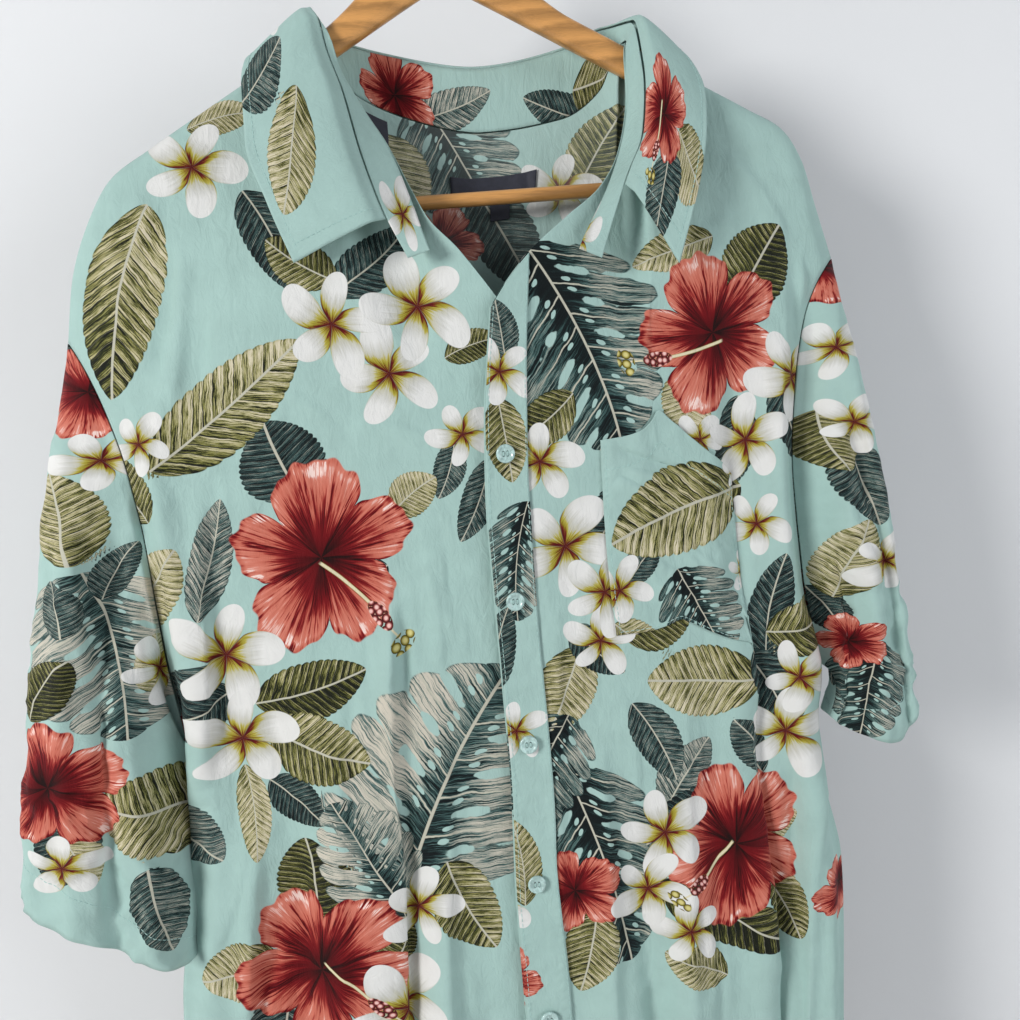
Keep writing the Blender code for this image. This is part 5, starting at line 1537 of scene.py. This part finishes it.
class SHIRT_OT_buttons(bpy.types.Operator):
    """Build the six front buttons and the collar's own, sewn on with thread"""
    bl_idname = "shirt.buttons"
    bl_label = "Buttons"

    def execute(self, context):
        finish = button_finish("shell_resin", colour("button"))
        thread = thread_finish("button_thread", colour("thread"))
        # painted shade: a dark resin disc sits in each buttonhole in place of the shade inside an
        # open hole
        dark = button_finish("button_hole", times(colour("button"), 0.22))
        probe = np.linspace(0.05, 0.99, 900)
        spine = front(1, 0.5 * PLACKET[1] + 0 * probe, probe)
        across_hole = np.linspace(-1, 1, 9)[:, None]
        bow = np.sqrt(np.clip(1.12 - across_hole ** 2, 0, None)) * 0.45 * MM
        for node in [f"button_{i + 1}" for i in range(6)] + ["collar_button"]:
            low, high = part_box(node)
            centre = np.array((low + high) / 2)
            if node == "collar_button":
                at, by = np.array([-0.965]), np.array([0.55])
                normal = np.cross(stand(at + 0.01, by)[0] - stand(at - 0.01, by)[0],
                                  stand(at, by + 0.05)[0] - stand(at, by - 0.05)[0])
            else:
                k = int(np.argmin(np.abs(spine[:, 2] - centre[2])))
                slope = spine[k + 3] - spine[k - 3]
                normal = np.array([0, slope[2], -slope[1]])
            n = unit(normal)
            n = n if (n[1] < 0) != (node == "collar_button") else -n
            points, faces, u, w = button_surface(centre, n)
            own(mesh_object("sewn_" + node, points, faces), (finish,), "button", node)
            holes, strands = [], []
            for p in (-1, 1):
                for q in (-1, 1):
                    at = centre + n * 0.20 * BUTTON_DEPTH + (u * p + w * q) * HOLE_STEP
                    # each hole is a short dark plug, painted shade rather than an opening
                    holes.append(tube([at - n * 0.35 * MM, at - n * 0.1 * MM,
                                       at + n * 0.02 * MM], HOLE_RADIUS, 12))
                for shift in (-0.22 * MM, 0.0, 0.22 * MM):
                    strands.append(tube(
                        centre + n * (0.18 * BUTTON_DEPTH) + u * (p * HOLE_STEP + shift)
                        + w * across_hole * HOLE_STEP + n * bow, STRAND_RADIUS, 6))
            # the plugs of painted hole shade, one mesh a button
            own(mesh_object("holes_of_" + node, *joined(holes)), (dark,), "button")
            own(mesh_object("thread_of_" + node, *joined(strands)), (thread,), "button")
        return {"FINISHED"}


class SHIRT_OT_hanger(bpy.types.Operator):
    """Build the hanger's bow, bar and hook"""
    bl_idname = "shirt.hanger"
    bl_label = "Hanger"

    def execute(self, context):
        wood = wood_finish("varnished_wood", colour("wood"))
        around = 40
        x = np.linspace(-1, 1, 241)
        x = ARM_REACH * (0.8 * x + 0.2 * np.sin(x * np.pi / 2))
        low, high = arm_low(x), arm_high(x)
        late = (np.abs(x) - ARM_REACH + ARM_ROUND).clip(0) / ARM_ROUND
        end = np.sqrt(np.clip(1 - late ** 2, 0.02, 1))
        mid, half = (low + high) / 2, (high - low) / 2 * (0.25 + 0.75 * end)
        mid = mid - 1.5 * MM * (1 - end)
        turn = np.linspace(0, 2 * np.pi, around, endpoint=False)
        c, d = np.cos(turn), np.sin(turn)
        y = np.sign(c) * np.abs(c) ** 0.62 * ARM_HALF_DEPTH
        z = np.sign(d) * np.abs(d) ** 0.85
        points = stack(np.repeat(x[:, None], around, 1), y[None] * (0.45 + 0.55 * end[:, None]),
                       mid[:, None] + half[:, None] * z[None])
        faces = [face[::-1] for face in capped(len(x), around)]
        own(mesh_object("carved_bow", points.reshape(-1, 3), faces), (wood,), "wood",
            "hanger_bow")
        along = np.linspace(-BAR_HALF, BAR_HALF, 81)
        bar = tube(stack(along, 0 * along, 0 * along + BAR_Z), BAR_RADIUS, 28)
        own(mesh_object("turned_bar", *bar), (wood,), "wood", "hanger_bar")
        top = float(arm_high(0.0))
        turn = np.radians(np.linspace(-52, 205, 90))
        loop = stack(HOOK_RADIUS * np.cos(turn), 0 * turn,
                     HOOK_CENTRE + HOOK_RADIUS * np.sin(turn))
        shank = np.array([(0, 0, top - 3 * MM), (0, 0, top + 4 * MM), (0, 0, top + 12 * MM),
                          (0.8 * MM, 0, top + 18 * MM), (4.5 * MM, 0, top + 23.5 * MM)])
        hook = tube(np.concatenate([shank, loop]), WIRE_RADIUS, 20)
        own(mesh_object("bent_hook", *hook), (chrome_finish("plated_wire"),), "wire",
            "hanger_hook")
        rise = top + np.array([-1.5, -0.2, 0.6, 1.3, 1.6]) * MM
        ferrule = tube(stack(0 * rise, 0 * rise, rise), 3.4 * MM, 24,
                       np.array([1, 1, 0.95, 0.75, 0.6]))
        own(mesh_object("hook_ferrule", *ferrule), (chrome_finish("plated_ferrule"),), "wire")
        return {"FINISHED"}


class SHIRT_OT_stitching(bpy.types.Operator):
    """Sew the visible rows: placket, pocket, collar leaf, hems and cuffs"""
    bl_idname = "shirt.stitching"
    bl_label = "Stitching"

    def execute(self, context):
        thread = thread_finish("sewing_thread", colour("thread"))
        seams = {
            "placket_stitching": placket_rows(), "pocket_stitching": pocket_rows(),
            "hem_right": [hem_row(partial(front_skin, -1), 0, 300, TO_FRONT)],
            "hem_left": [hem_row(partial(front_skin, 1), 0, 300, TO_FRONT)],
            "hem_back": [hem_row(back_skin, -1, 500, TO_BACK)],
            "cuff_right": [cuff_row(-1)], "cuff_left": [cuff_row(1)],
            "collar_stitching": leaf_rows(),
        }
        for name, rows in seams.items():
            stitching(name, rows, thread)
        return {"FINISHED"}


def plane(name, material, corners):
    obj = mesh_object(name, corners, [(0, 1, 2, 3)])
    obj.data.materials.append(material)
    return obj


def area_light(name, spot, aim, size, power, tint=(1, 1, 1)):
    data = bpy.data.lights.new(name, "AREA")
    data.shape, data.size, data.energy, data.color = "DISK", size, power, tint
    obj = bpy.data.objects.new(name, data)
    obj.location = spot
    obj.rotation_euler = (Vector(aim) - Vector(spot)).to_track_quat("-Z", "Y").to_euler()
    collection().objects.link(obj)


class SHIRT_OT_stage(bpy.types.Operator):
    """Set the pale wall, floor, soft lights and camera"""
    bl_idname = "shirt.stage"
    bl_label = "Stage"

    def execute(self, context):
        paint = colour("wall")
        ink = Ink("painted_wall")
        soft = ink.noise(ink.place(), 2.2, 3.0)
        grain = ink.noise(ink.place(), 420.0, 2.0)
        wall_paint = ink.finish(
            Base_Color=ink.mix(soft, times(paint, 0.97), times(paint, 1.03)), Roughness=0.9,
            Normal=ink.bump(grain, 0.08, 0.0005))
        # clear from behind, so the shirt's back shows too
        rear = ink.node("ShaderNodeNewGeometry").outputs["Backfacing"]
        clear = ink.node("ShaderNodeBsdfTransparent").outputs[0]
        both = ink.node("ShaderNodeMixShader", {}, {0: rear, 1: ink.shader.outputs[0], 2: clear})
        ink.feed(ink.tree.nodes["Material Output"].inputs["Surface"], both.outputs[0])
        half, rear_y, floor, top = 4.0, 0.115, -1.62, 2.4
        wall = plane("backdrop_wall", wall_paint, [
            (-half, rear_y, floor), (half, rear_y, floor), (half, rear_y, top),
            (-half, rear_y, top)])
        ink = Ink("pale_floor")
        soft = ink.noise(ink.place(), 3.0, 3.0)
        ground = ink.finish(Base_Color=ink.mix(soft, (0.60, 0.59, 0.57), (0.68, 0.67, 0.65)),
                            Roughness=0.7)
        base = plane("floor", ground, [(-half, -half, floor), (half, -half, floor),
                                       (half, half, floor), (-half, half, floor)])
        area_light("window_light", (-2.0, -1.65, 0.1), (0.1, 0, -0.5), 0.9, 58, (1, 0.99, 0.97))
        area_light("room_fill", (1.9, -1.4, -0.1), (0.25, 0, -0.45), 1.6, 24, (0.96, 0.98, 1))
        area_light("rear_fill", (-0.6, 2.2, 0.6), (0, 0, -0.5), 2.0, 26)
        world = bpy.data.worlds.new("soft_room")
        world.use_nodes = True
        glow = world.node_tree.nodes["Background"].inputs
        glow["Color"].default_value, glow["Strength"].default_value = (0.84, 0.88, 0.93, 1), 0.30
        context.scene.world = world
        context.scene.view_settings.view_transform = "Standard"
        data = bpy.data.cameras.new("camera")
        data.lens, data.sensor_width, data.clip_start = 36.0, 36.0, 0.01
        obj = bpy.data.objects.new("camera", data)
        yaw, pitch, roll = np.radians(CAMERA_TURN)
        ahead = np.array([np.sin(yaw) * np.cos(pitch), np.cos(yaw) * np.cos(pitch),
                          np.sin(pitch)])
        level = np.array([np.cos(yaw), -np.sin(yaw), 0])
        over = np.cross(level, ahead)
        right = np.cos(roll) * level + np.sin(roll) * over
        up = -np.sin(roll) * level + np.cos(roll) * over
        turn = Matrix(np.stack([right, up, -ahead], axis=1).tolist()).to_4x4()
        obj.matrix_world = Matrix.Translation(CAMERA_SPOT) @ turn
        collection().objects.link(obj)
        context.scene.camera = obj
        return {"FINISHED"}


OPERATORS = (SHIRT_OT_hanger, SHIRT_OT_fronts, SHIRT_OT_back, SHIRT_OT_sleeves,
             SHIRT_OT_collar, SHIRT_OT_labels, SHIRT_OT_buttons, SHIRT_OT_stitching,
             SHIRT_OT_stage)


class SHIRT_PT_panel(bpy.types.Panel):
    """Panel that lists the sizes, colours and pieces"""
    bl_idname = "SHIRT_PT_panel"
    bl_label = "Shirt on a hanger"
    bl_space_type = "VIEW_3D"
    bl_region_type = "UI"
    bl_category = "Shirt"

    def draw(self, context):
        for group in (context.scene.shirt_sizes, context.scene.shirt_colours):
            box = self.layout.box()
            for key in group.__annotations__:
                box.prop(group, key)
        for kind in OPERATORS:
            self.layout.operator(kind.bl_idname)


def register():
    for kind in (ShirtSizes, ShirtColours, *OPERATORS, SHIRT_PT_panel):
        bpy.utils.register_class(kind)
    bpy.types.Scene.shirt_sizes = PointerProperty(type=ShirtSizes)
    bpy.types.Scene.shirt_colours = PointerProperty(type=ShirtColours)


def unregister():
    del bpy.types.Scene.shirt_colours
    del bpy.types.Scene.shirt_sizes
    for kind in reversed((ShirtSizes, ShirtColours, *OPERATORS, SHIRT_PT_panel)):
        bpy.utils.unregister_class(kind)


def main():
    register()
    for kind in OPERATORS:
        group, name = kind.bl_idname.split(".")
        done = getattr(getattr(bpy.ops, group), name)()
        if done != {"FINISHED"}:
            raise RuntimeError(f"{kind.bl_idname} didn't finish")


if __name__ == "__main__":
    main()
